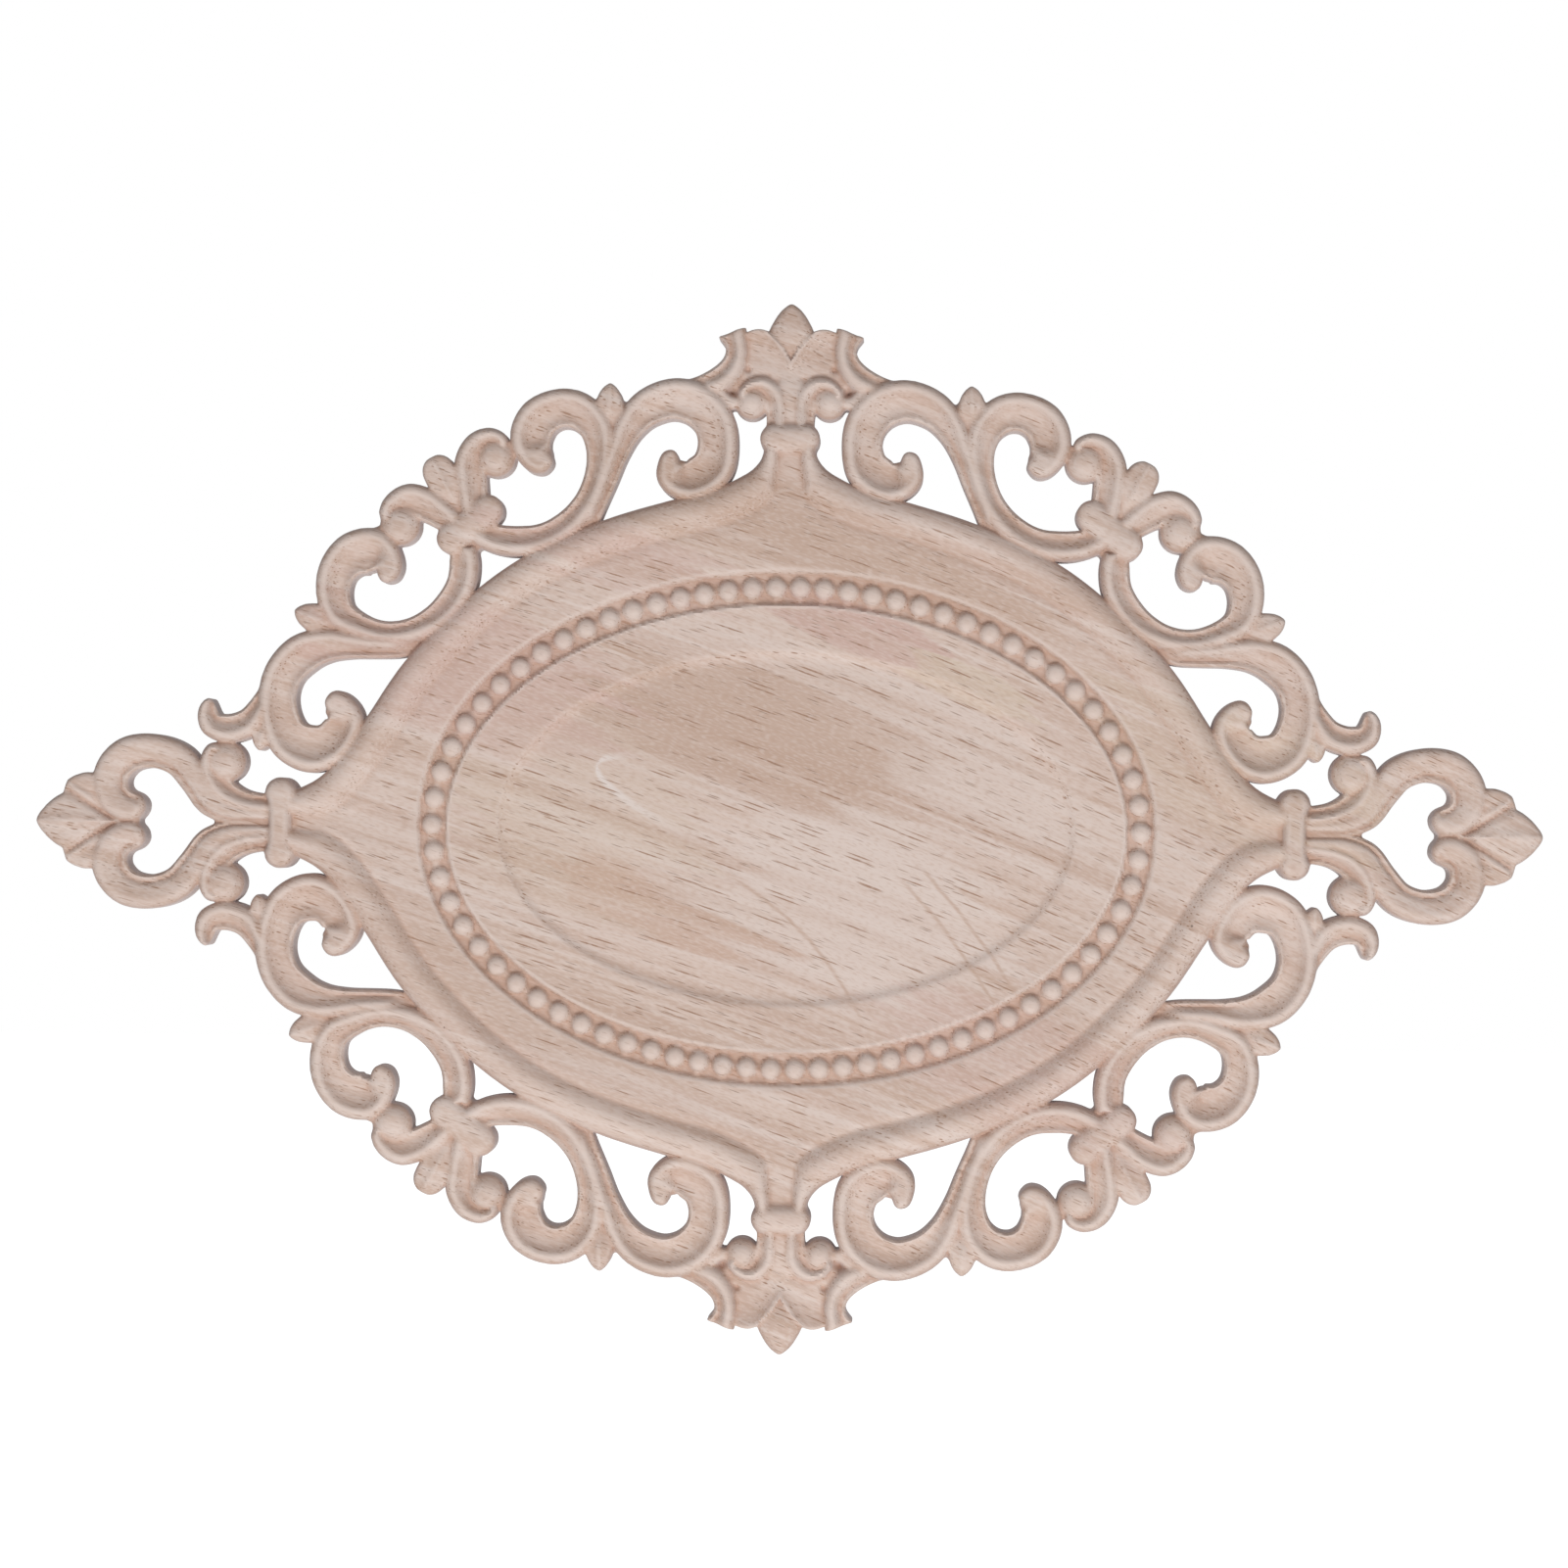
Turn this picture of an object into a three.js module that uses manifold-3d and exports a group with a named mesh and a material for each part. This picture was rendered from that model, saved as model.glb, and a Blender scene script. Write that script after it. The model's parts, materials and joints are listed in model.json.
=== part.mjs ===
// A pointed-oval wood applique, carved from one flat board.
// A dished oval stands in a ring of beads inside a rolled frame, and openwork scrolls run round the frame.
// Millimetres. The back lies on Y = 0, the carving faces -Y, X runs along the length and Z up the height.
// The carving is drawn lying on its back: x along, y up, and h for the height above the back.

import * as THREE from 'three';
import { mergeVertices } from 'three/addons/utils/BufferGeometryUtils.js';
import Module from 'manifold-3d';

const overallLength = 500;
const overallHeight = 348.6;

// Heights above the back
const edgeHeight = 9.6; // where the rounded tops meet the upright walls
const rimHeight = 13.4; // crest of the rim on a scroll
const hollowHeight = 8.8; // inner edge of a scroll, below its rim
const ballHeight = 14.2;
const leafHeight = 13.6; // ridge of a leaf
const tieHeight = 15.6;
const collarHeight = 15.8;
const webHeight = 8.6; // low webs in the corners between strokes
const rollHeight = 14.6; // crest of the frame's roll
const grooveHeight = 11.2; // groove on the inner side of the roll
const beadLipHeight = 10.3; // edges of the bead channel
const channelHeight = 7; // floor of the bead channel
const beadHeight = 10.8;
const bandHeight = 9.6; // the flat band where it drops to the dish
const dishHeight = 7.2; // floor of the dish

// Widths in plan
const rollWidth = 12;
const rollCrest = 6; // from the frame's outer edge in to the crest
const rollShoulder = 1.6; // from the outer edge in to the rounded shoulder
const shoulderHeight = 12.6;
const rimWidth = 3.6;
const channelAlong = 9.5; // the channel is a little wider above and below the dish
const channelUp = 11.1;
const channelSlope = 0.5; // lean of the channel's walls
const bandAlong = 17;
const bandUp = 15.4;
const coveWidth = 2.2; // the soft step between band and dish
const endField = 42; // from the side collar in to the bead channel
const topField = 38.1; // from the top collar down to the bead channel
const beadWidth = 8.4;
const beadPitch = 8.47;

// The drawing is one quarter of the carving; its numbers are shares of this sheet.
const sheetLength = 250;
const sheetHeight = 174.3;
const along = overallLength / 2 / sheetLength;
const up = overallHeight / 2 / sheetHeight;
const girth = Math.min(along, up);

// Outer edge of the frame, from the side collar up to the top collar
const frameEdge = [
  [164.5, 10.4],
  [155, 15.6],
  [147, 25],
  [139.6, 36.2],
  [126.8, 55.1],
  [102.8, 79.2],
  [84, 92],
  [62, 101.8],
  [41, 108.3],
  [27, 111.8],
  [18, 115.8],
  [11.8, 119.6],
  [9, 123.6],
];

// Scrolls run from their root to their curled end: x, y and width.
// turn is 1 where a scroll curls to the right of its run, so that its rim is on the left, and -1 the other way.
const scrolls = {
  heart: {
    turn: 1,
    run: [
      [168, 2.2, 4.6], [178, 2.2, 5], [186, 3.2, 7], [192.2, 6.6, 9.4], [197.2, 13.8, 10.4],
      [203, 20.7, 11.2], [211.6, 23.5, 11.4], [220.2, 21.9, 12], [225.1, 16, 12], [225, 9.8, 11.8],
      [220.6, 5.4, 10.8], [212.6, 5, 10],
    ],
  },
  heartBall: {
    turn: -1,
    run: [
      [167, 6, 6.4], [175, 6.2, 7], [181.5, 7.4, 7.4], [187.5, 10.6, 8.6], [191.4, 16.4, 8.4],
      [191.6, 22, 7], [189, 26, 5.4],
    ],
  },
  endHook: {
    turn: -1,
    run: [
      [172.5, 46.5, 5], [175.6, 39, 7.5], [180, 33.2, 9.4], [186.5, 31.2, 9.8], [191.9, 32.6, 9.4],
      [193.7, 37, 6.8], [192.3, 40.8, 5.6],
    ],
  },
  lowerTeardrop: {
    turn: 1,
    run: [
      [122, 60, 6], [130, 58.9, 7], [138, 58.9, 7.6], [146, 59.5, 9.2], [154, 59.2, 11.2],
      [161.5, 56.6, 13.4], [167.6, 50.5, 13], [170, 42.5, 12.8], [168.8, 33.5, 13.6], [165, 27.3, 14.8],
      [158, 24.7, 16], [151.5, 27, 14.4], [147.2, 34.2, 12.8], [149.6, 39.6, 9.6], [154, 40.4, 6],
    ],
  },
  lowerC: {
    turn: -1,
    run: [
      [108.6, 92, 8.4], [108.1, 88.5, 9.8], [108.8, 80.8, 10], [112.5, 73.8, 10], [118.4, 68, 9.4],
      [126, 64.5, 8.2], [134.5, 63.7, 7.8], [143.4, 66.2, 8.8], [149.8, 70.6, 10.4], [151.8, 77.8, 11.6],
      [150.2, 84.8, 12.8], [145, 89.9, 14.8], [138.2, 90.6, 15.4], [133.3, 86, 9.8], [134.4, 80.2, 5.8],
    ],
  },
  lowerBall: {
    turn: 1,
    run: [
      [112, 100.4, 8.6], [116, 103.3, 9.8], [121, 106.4, 11], [127, 108.3, 10.2], [132.2, 105.8, 7.8],
      [134.6, 100.4, 5.6],
    ],
  },
  upperBall: {
    turn: -1,
    run: [
      [104.5, 102, 8.6], [105.2, 108, 9.8], [106.1, 114.5, 10.6], [106.5, 121.4, 10.2], [104, 127, 8.4],
      [99.5, 128.9, 6.8], [94.2, 126.6, 5.2],
    ],
  },
  upperC: {
    turn: 1,
    run: [
      [104, 98, 8.4], [98.5, 95.6, 9.6], [91, 94.6, 10.2], [81.6, 96, 9.6], [73, 101.2, 9.2],
      [66.9, 108.8, 8.8], [63.6, 118, 9], [63.1, 126.5, 10], [65.4, 133.8, 11.4], [71, 138.5, 12.6],
      [77.8, 138.9, 13], [84, 135.3, 14], [86.4, 129, 13.8], [83.9, 122.2, 10.6], [78.8, 120.4, 5.8],
    ],
  },
  upperTeardrop: {
    turn: -1,
    run: [
      [66.5, 101, 5.8], [64.3, 106.8, 6.4], [60.7, 115.8, 7], [57.8, 124.2, 8], [53.7, 132.9, 10],
      [47.7, 139.5, 12.4], [38.8, 142.6, 13.6], [30.8, 140.6, 14.2], [25.5, 135, 14], [23.9, 127.6, 13.6],
      [26, 119.5, 14.6], [33.1, 115.3, 14.2], [38.8, 117, 11.4], [40.1, 121.6, 7.2], [38.8, 125.4, 5],
    ],
  },
  topHook: {
    turn: 1,
    run: [
      [34, 145.7, 6.6], [28.8, 146.2, 7.4], [22.7, 149, 8.6], [18.9, 154, 8.6], [18.4, 159.4, 8],
      [20.2, 162.8, 6.4], [24.2, 163.3, 4.8],
    ],
  },
  topBall: {
    turn: 1,
    run: [[4.2, 134, 7.4], [4.2, 141, 7.8], [5.4, 145.5, 7.8], [10, 147.4, 6.4], [15, 144.6, 5]],
  },
  topLeaf: {
    turn: 1,
    run: [[2.5, 146, 5], [5.5, 153, 9], [9, 159.5, 12], [11, 166.2, 8.6]],
  },
};

// Balls in the eyes of the small scrolls: centre and radius
const balls = {
  heartBall: [187.2, 20.2, 7.1],
  lowerBall: [128.8, 99.4, 7.4],
  upperBall: [97.8, 121.4, 7.1],
  topBall: [13.2, 141.5, 5.9],
};

// Leaves, from base to tip: x and y of each, half width, and how far along it is fullest
const leaves = {
  lower: { base: [151, 65.8], tip: [164.8, 70.6], half: 4.8, fullest: 0.5 },
  middle: { base: [109.6, 104.8], tip: [120.4, 124], half: 6.8, fullest: 0.62 },
  upper: { base: [60.6, 132], tip: [60, 147.6], half: 4.8, fullest: 0.45 },
  bud: { base: [174, 36], tip: [175.6, 23.8], half: 4, fullest: 0.55 },
  end: { base: [226, 1.6], tip: [240.5, 13], half: 7.6, fullest: 0.5 },
};
const crownLeaf = { base: [0, 154], tip: [0, 174.3], half: 7.2, fullest: 0.56 };
const pointLeaf = { base: [222, 0], tip: [250, 0], half: 9.8, fullest: 0.58 };
const leafTipWidth = 0.5;

// The tie round the two C scrolls and the collars of the frame: middles of their rounded ends, and half width
const tie = { from: [100.3, 104.2], to: [112.3, 95.6], half: 6 };
const sideCollar = { from: [168.4, -10.6], to: [168.4, 10.6], half: 4.6 };
const topCollar = { from: [-5.6, 129.4], to: [5.6, 129.4], half: 4.9 };

// The plain neck between the top collar and the crown
const neck = { from: 126, to: 156, half: 7.6 };

// Webs that fill the corners between strokes: centre and radius
const webs = {
  heartPoint: [219.4, 0, 3.8],
  heartRoot: [188.8, 0, 2],
  sideCollarOuter: [173, 10, 3.2],
  teardropAndC: [57, 138.6, 3.6],
  crownSide: [15.2, 160.8, 4.4],
  aboveTopBall: [13.6, 152.4, 5.4],
  besideTopBall: [21, 143, 4.6],
};

// How finely the curves are followed
const stepLength = 30;
const stepAngle = (46 * Math.PI) / 180;
const curveSamples = 240;
const frameSteps = 14;
const beadSides = 5;
const ballSides = 8;
const webSides = 5;

// Everything is first drawn this far below the back, and then sawn off flat.
const sawDepth = 2;

const wasm = await Module();
wasm.setup();

function toSolid(geometry) {
  const bare = geometry.index ? geometry.toNonIndexed() : geometry.clone();
  bare.deleteAttribute('normal');
  bare.deleteAttribute('uv');
  const merged = mergeVertices(bare);
  return new wasm.Manifold(
    new wasm.Mesh({
      numProp: 3,
      vertProperties: new Float32Array(merged.attributes.position.array),
      triVerts: new Uint32Array(merged.index.array),
    }),
  );
}

function meshFrom(points, triangles) {
  const geometry = new THREE.BufferGeometry();
  geometry.setAttribute('position', new THREE.Float32BufferAttribute(points.flat(), 3));
  geometry.setIndex(triangles.flat());
  return geometry;
}

// A closed skin over rings of points that all run the same way round, with flat ends
function loft(rings, endShape) {
  const count = rings[0].length;
  const triangles = [];
  for (let ring = 0; ring + 1 < rings.length; ring += 1) {
    for (let side = 0; side < count; side += 1) {
      const a = ring * count + side;
      const b = ring * count + ((side + 1) % count);
      triangles.push([a, b, b + count], [a, b + count, a + count]);
    }
  }
  const last = (rings.length - 1) * count;
  const wayRound = Math.sign(THREE.ShapeUtils.area(endShape));
  for (const [a, b, c] of THREE.ShapeUtils.triangulateShape(endShape, [])) {
    const sameWay = Math.sign(THREE.ShapeUtils.area([endShape[a], endShape[b], endShape[c]])) === wayRound;
    const [second, third] = sameWay ? [b, c] : [c, b];
    triangles.push([a, third, second], [last + a, last + second, last + third]);
  }
  return meshFrom(rings.flat(), triangles);
}

// Shares of a curve's run where its skin needs a ring: more of them where it bends
function ringPlaces(curve) {
  const places = [0];
  let owed = 0;
  for (let i = 1; i < curveSamples; i += 1) {
    const before = curve.getTangent((i - 1) / curveSamples);
    const after = curve.getTangent(i / curveSamples);
    const turned = Math.hypot(after.x - before.x, after.y - before.y);
    const moved = curve.getPoint((i - 1) / curveSamples).distanceTo(curve.getPoint(i / curveSamples));
    owed += moved / stepLength + turned / stepAngle;
    if (owed >= 1) {
      places.push(i / curveSamples);
      owed = 0;
    }
  }
  return places;
}

// One ring of a stroke's skin, square to its run. The section's points are given as
// [across, height], with across 1 on the left edge and -1 on the right.
function ringAt(curve, place, shape) {
  const { x, y, z: width } = curve.getPoint(place);
  const run = curve.getTangent(place);
  const size = Math.hypot(run.x, run.y);
  return shape.map(([across, h]) => {
    const reach = (across * width) / 2 / size;
    return [x - run.y * reach, y + run.x * reach, h];
  });
}

function runCurve(run) {
  const stations = run.map(([x, y, width]) => new THREE.Vector3(x * along, y * up, width * girth));
  return new THREE.CatmullRomCurve3(stations, false, 'centripetal');
}

// A scroll: upright walls, and a top that rises to a rim along its outer edge. Its end is rounded off.
function scrollSolid({ run, turn }) {
  const curve = runCurve(run);
  const noseWidth = run.at(-1)[2] * girth;
  const noseStart = 1 - (0.45 * noseWidth) / curve.getLength();
  const noseTaper = 0.4;
  const section = (width, share) => {
    const rim = Math.min(rimWidth, 0.42 * width);
    const crest = edgeHeight + (rimHeight - edgeHeight) * share;
    const shape = [
      [share, -sawDepth],
      [share, edgeHeight],
      [share - (1.3 * rim * share) / width, crest],
      [-share, hollowHeight],
      [-share, -sawDepth],
    ];
    return turn > 0 ? shape : shape.map(([across, h]) => [-across, h]).reverse();
  };
  const places = ringPlaces(curve).filter((place) => place < noseStart);
  const shapes = [...places, noseStart].map((place) => section(curve.getPoint(place).z, 1));
  shapes.push(section(noseWidth, noseTaper));
  const rings = [...places, noseStart, 1].map((place, i) => ringAt(curve, place, shapes[i]));
  return toSolid(loft(rings, endShapeOf(section(noseWidth, 1))));
}

function endShapeOf(shape) {
  return shape.map(([across, h]) => new THREE.Vector2(across * rimWidth, h));
}

// A straight stroke whose width is given at each of its stations, with the section's crest in the middle
function straightSolid(run, sectionAt) {
  const curve = runCurve(run);
  const widest = Math.max(...run.map(([, , width]) => width));
  const rings = run.map(([, , width], i) => ringAt(curve, i / (run.length - 1), sectionAt(width / widest)));
  return toSolid(loft(rings, endShapeOf(sectionAt(1))));
}

function between(from, to, share, width) {
  return [from[0] + (to[0] - from[0]) * share, from[1] + (to[1] - from[1]) * share, width];
}

// A pointed leaf: two flanks that rise to a ridge from base to tip
function leafSolid({ base, tip, half, fullest }) {
  const run = [
    between(base, tip, 0, 1.2 * half),
    between(base, tip, fullest * 0.6, 1.84 * half),
    between(base, tip, fullest, 2 * half),
    between(base, tip, (1 + fullest) / 2, 1.5 * half),
    between(base, tip, 1, leafTipWidth),
  ];
  return straightSolid(run, (share) => [
    [1, -sawDepth],
    [1, edgeHeight],
    [0, edgeHeight + (leafHeight - edgeHeight) * share],
    [-1, edgeHeight],
    [-1, -sawDepth],
  ]);
}

// A half-round band with rounded ends
function bandSolid({ from, to, half }, crest) {
  const reach = half / Math.hypot(to[0] - from[0], to[1] - from[1]);
  const run = [
    between(from, to, -reach, 0.8 * half),
    between(from, to, -reach * 0.55, 1.8 * half),
    between(from, to, 0.06, 2 * half),
    between(from, to, 0.94, 2 * half),
    between(from, to, 1 + reach * 0.55, 1.8 * half),
    between(from, to, 1 + reach, 0.8 * half),
  ];
  return straightSolid(run, (share) => {
    const rise = (crest - edgeHeight) * share;
    return [
      [1, -sawDepth],
      [1, edgeHeight],
      [0.5, edgeHeight + rise * 0.85],
      [-0.5, edgeHeight + rise],
      [-1, edgeHeight],
      [-1, -sawDepth],
    ];
  });
}

// A ball that stands up to its shoulder in the carving
function ballSolid([x, y, radius]) {
  const size = radius * girth;
  const dome = ballHeight - edgeHeight;
  const profile = [
    new THREE.Vector2(0, -sawDepth),
    new THREE.Vector2(size, -sawDepth),
    new THREE.Vector2(size, edgeHeight),
    new THREE.Vector2(size * Math.SQRT1_2, edgeHeight + dome * Math.SQRT1_2),
    new THREE.Vector2(0, ballHeight),
  ];
  const ball = new THREE.LatheGeometry(profile, ballSides);
  ball.rotateX(Math.PI / 2);
  ball.translate(x * along, y * up, 0);
  return toSolid(ball);
}

function webSolid([x, y, radius]) {
  const web = new THREE.CylinderGeometry(radius * girth, radius * girth, webHeight + sawDepth, webSides);
  web.rotateX(Math.PI / 2);
  web.translate(x * along, y * up, (webHeight - sawDepth) / 2);
  return toSolid(web);
}

function neckSolid() {
  const plain = new THREE.BoxGeometry(2 * neck.half * along, (neck.to - neck.from) * up, edgeHeight + sawDepth);
  plain.translate(0, ((neck.from + neck.to) / 2) * up, (edgeHeight - sawDepth) / 2);
  return toSolid(plain);
}

const frameHalfLength = frameEdge[0][0] * along;
const frameHalfHeight = frameEdge.at(-1)[1] * up;
const ringHalfLength = frameHalfLength - endField;
const ringHalfHeight = frameHalfHeight - topField;

// The frame's roll, by distance in from its outer edge
const rollSection = [
  [0, -sawDepth],
  [0, edgeHeight],
  [rollShoulder, shoulderHeight],
  [rollCrest, rollHeight],
  [rollWidth, grooveHeight],
];

// Ovals inside the frame, from the bead channel in to the dish: distance in along, distance in up, and height
const ovals = [
  [0, 0, beadLipHeight],
  [channelSlope, channelSlope, channelHeight],
  [channelAlong - channelSlope, channelUp - channelSlope, channelHeight],
  [channelAlong, channelUp, beadLipHeight],
  [channelAlong + bandAlong - coveWidth, channelUp + bandUp - coveWidth, bandHeight],
  [channelAlong + bandAlong, channelUp + bandUp, dishHeight],
];

// Height of the roll's top at a distance in from its outer edge
function rollTop(inset) {
  const next = rollSection.findIndex(([reach], i) => i > 1 && reach >= inset);
  const [nearReach, nearHeight] = rollSection[next - 1];
  const [farReach, farHeight] = rollSection[next];
  return THREE.MathUtils.mapLinear(inset, nearReach, farReach, nearHeight, farHeight);
}

// One rung of the centre, from the foot of the outer wall in to the edge of the dish.
// Near the collars the rolls of two quarters meet on the axis, where the rung stops short.
function centreRung({ x, y, inX, inY }) {
  const toAxis = Math.min(inX < 0 ? x / -inX : Infinity, inY < 0 ? y / -inY : Infinity);
  const roll = rollSection.map(([inset, h]) => {
    const stop = Math.min(inset, toAxis);
    return [x + inX * stop, y + inY * stop, stop < inset ? rollTop(stop) : h];
  });
  const angle = Math.atan2(y / ringHalfHeight, x / ringHalfLength);
  const rings = ovals.map(([inAlong, inUp, h]) => [
    (ringHalfLength - inAlong) * Math.cos(angle),
    (ringHalfHeight - inUp) * Math.sin(angle),
    h,
  ]);
  return [...roll, ...rings];
}

// The rung on an axis: its wall and ovals lie on the axis, and its roll is the valley where two rolls meet
function axisRung(neighbour, onLength) {
  const { x, y } = onLength ? { x: frameHalfLength, y: 0 } : { x: 0, y: frameHalfHeight };
  const own = centreRung({ x, y, inX: 0, inY: 0 });
  return own.map((point, i) => {
    if (i < 2 || i >= rollSection.length) return point;
    const [nearX, nearY, h] = neighbour[i];
    return onLength ? [nearX, 0, h] : [0, nearY, h];
  });
}

// Rungs of one quarter, from the side collar up to the top collar
function quarterRungs() {
  const edge = runCurve(frameEdge.map(([x, y]) => [x, y, 0]));
  const rungs = [];
  for (let i = 0; i <= frameSteps; i += 1) {
    const { x, y } = edge.getPointAt(i / frameSteps);
    const run = edge.getTangentAt(i / frameSteps);
    rungs.push(centreRung({ x, y, inX: -run.y, inY: run.x }));
  }
  return [axisRung(rungs[0], true), ...rungs, axisRung(rungs.at(-1), false)];
}

function flipped(rungs, flipX, flipY) {
  return rungs.map((rung) => rung.map(([x, y, h]) => [flipX * x, flipY * y, h]));
}

// The dish, band, bead channel, field and rolled frame as one solid of rungs round the centre
function centreSolid() {
  const quarter = quarterRungs();
  const half = [...quarter, ...flipped(quarter.slice(0, -1), -1, 1).reverse()];
  const rungs = [...half, ...flipped(half.slice(1, -1), 1, -1).reverse()];
  const depth = rungs[0].length;
  const dishCentre = rungs.length * depth;
  const backCentre = dishCentre + 1;
  const triangles = [];
  rungs.forEach((rung, i) => {
    const here = i * depth;
    const next = ((i + 1) % rungs.length) * depth;
    for (let k = 0; k + 1 < depth; k += 1) {
      triangles.push([here + k, next + k, next + k + 1], [here + k, next + k + 1, here + k + 1]);
    }
    triangles.push([here + depth - 1, next + depth - 1, dishCentre], [next, here, backCentre]);
  });
  return toSolid(meshFrom([...rungs.flat(), [0, 0, dishHeight], [0, 0, -sawDepth]], triangles));
}

// Beads stand side by side all round the channel
function beadSolids() {
  const oval = new THREE.EllipseCurve(0, 0, ringHalfLength - channelAlong / 2, ringHalfHeight - channelUp / 2);
  const count = Math.round(oval.getLength() / beadPitch);
  const buried = 1;
  const tall = beadHeight - channelHeight + buried;
  const bead = new THREE.ConeGeometry(beadWidth / 2, tall, beadSides);
  bead.rotateX(Math.PI / 2);
  bead.translate(0, 0, channelHeight - buried + tall / 2);
  const beads = [];
  for (let i = 0; i < count; i += 1) {
    const { x, y } = oval.getPointAt(i / count);
    const { x: runX, y: runY } = oval.getTangentAt(i / count);
    const placed = bead.clone();
    placed.rotateZ(Math.atan2(runY, runX));
    placed.translate(x, y, 0);
    beads.push(toSolid(placed));
  }
  return beads;
}

// A solid drawn in the first quarter, and its mirror images
function inQuarters(solid, mirrors) {
  const { vertProperties, triVerts, numProp } = solid.getMesh();
  return mirrors.map(([flipX, flipY]) => {
    const points = [];
    for (let i = 0; i < vertProperties.length; i += numProp) {
      points.push([flipX * vertProperties[i], flipY * vertProperties[i + 1], vertProperties[i + 2]]);
    }
    const triangles = [];
    for (let i = 0; i < triVerts.length; i += 3) {
      const [a, b, c] = triVerts.slice(i, i + 3);
      triangles.push(flipX * flipY > 0 ? [a, b, c] : [a, c, b]);
    }
    return toSolid(meshFrom(points, triangles));
  });
}

const everyQuarter = [[1, 1], [-1, 1], [-1, -1], [1, -1]];
const leftAndRight = [[1, 1], [-1, 1]];
const aboveAndBelow = [[1, 1], [1, -1]];

const quarterPieces = [
  ...Object.values(scrolls).map(scrollSolid),
  ...Object.values(balls).map(ballSolid),
  ...Object.values(leaves).map(leafSolid),
  ...Object.values(webs).map(webSolid),
  bandSolid(tie, tieHeight),
];
const endPieces = [leafSolid(pointLeaf), bandSolid(sideCollar, collarHeight)];
const crownPieces = [leafSolid(crownLeaf), bandSolid(topCollar, collarHeight), neckSolid()];

const joined = wasm.Manifold.union([
  centreSolid(),
  ...beadSolids(),
  ...quarterPieces.flatMap((solid) => inQuarters(solid, everyQuarter)),
  ...endPieces.flatMap((solid) => inQuarters(solid, leftAndRight)),
  ...crownPieces.flatMap((solid) => inQuarters(solid, aboveAndBelow)),
]);
const board = new THREE.BoxGeometry(2 * overallLength, 2 * overallHeight, 2 * collarHeight);
board.translate(0, 0, collarHeight);
const { vertProperties, triVerts } = joined.intersect(toSolid(board)).getMesh();

const carving = new THREE.BufferGeometry();
carving.setAttribute('position', new THREE.BufferAttribute(vertProperties, 3));
carving.setIndex(new THREE.BufferAttribute(triVerts, 1));
carving.computeVertexNormals();

const rubberwood = new THREE.MeshStandardMaterial({ color: 0xd2b6a4, roughness: 0.72, metalness: 0 });
const applique = new THREE.Mesh(carving, rubberwood);
applique.name = 'carved_applique';
applique.rotation.x = Math.PI / 2;

const model = new THREE.Group();
model.add(applique);

export default model;
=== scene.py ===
# Wood applique: a dished oval in a ring of beads, a rolled frame and an openwork border of scrolls.
# The carving is drawn in millimetres lying on its back: x along, y up, h above the back.
import bpy
import json
import math
import numpy as np
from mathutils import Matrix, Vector
from mathutils.bvhtree import BVHTree
from mathutils.geometry import delaunay_2d_cdt
from mathutils.kdtree import KDTree

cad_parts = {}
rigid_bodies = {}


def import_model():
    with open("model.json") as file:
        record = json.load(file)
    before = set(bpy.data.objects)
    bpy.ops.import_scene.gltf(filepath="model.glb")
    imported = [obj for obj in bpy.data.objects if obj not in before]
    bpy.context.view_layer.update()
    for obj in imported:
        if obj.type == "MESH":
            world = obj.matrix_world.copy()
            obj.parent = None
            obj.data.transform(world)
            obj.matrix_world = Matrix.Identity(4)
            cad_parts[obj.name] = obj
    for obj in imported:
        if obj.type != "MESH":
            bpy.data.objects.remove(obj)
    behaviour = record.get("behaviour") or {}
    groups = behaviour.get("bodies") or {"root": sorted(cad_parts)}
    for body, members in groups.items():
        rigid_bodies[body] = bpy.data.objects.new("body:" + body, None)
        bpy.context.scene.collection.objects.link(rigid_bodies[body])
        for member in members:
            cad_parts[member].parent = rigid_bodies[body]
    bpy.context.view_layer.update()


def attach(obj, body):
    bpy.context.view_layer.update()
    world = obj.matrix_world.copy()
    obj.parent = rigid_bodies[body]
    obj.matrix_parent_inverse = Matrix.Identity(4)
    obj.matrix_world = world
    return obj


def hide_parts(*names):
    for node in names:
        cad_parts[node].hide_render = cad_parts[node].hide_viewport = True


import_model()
print("frame loaded")

boardCut = {
    "halfLength": 250.0,
    "halfHeight": 174.3,
    "edge": 9.6,        # where rounded tops meet the upright walls
    "wallBreak": 7.8,   # one more ring on each wall keeps its shading flat
    "sawDepth": 2.0,    # all is drawn this far below the back, then sawn off flat
    "stepLength": 2.0,
    "stepAngle": math.radians(9),
}


# Curves
def curvePoints(stations, perSpan=24):
    p = np.asarray(stations, float)
    p = np.vstack([2 * p[0] - p[1], p, 2 * p[-1] - p[-2]])
    spans = []
    for a, b, c, d in zip(p, p[1:], p[2:], p[3:]):
        ta, tb, tc = (math.sqrt(np.linalg.norm(q - r)) for q, r in ((b, a), (c, b), (d, c)))
        leave = ((b - a) / ta - (c - a) / (ta + tb) + (c - b) / tb) * tb
        arrive = ((c - b) / tb - (d - b) / (tb + tc) + (d - c) / tc) * tb
        t = np.linspace(0, 1, perSpan, endpoint=False)[:, None]
        bend = 3 * (c - b) - 2 * leave - arrive
        twist = 2 * (b - c) + leave + arrive
        spans.append(b + leave * t + bend * t ** 2 + twist * t ** 3)
    return np.vstack([*spans, p[-2:-1]])


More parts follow.
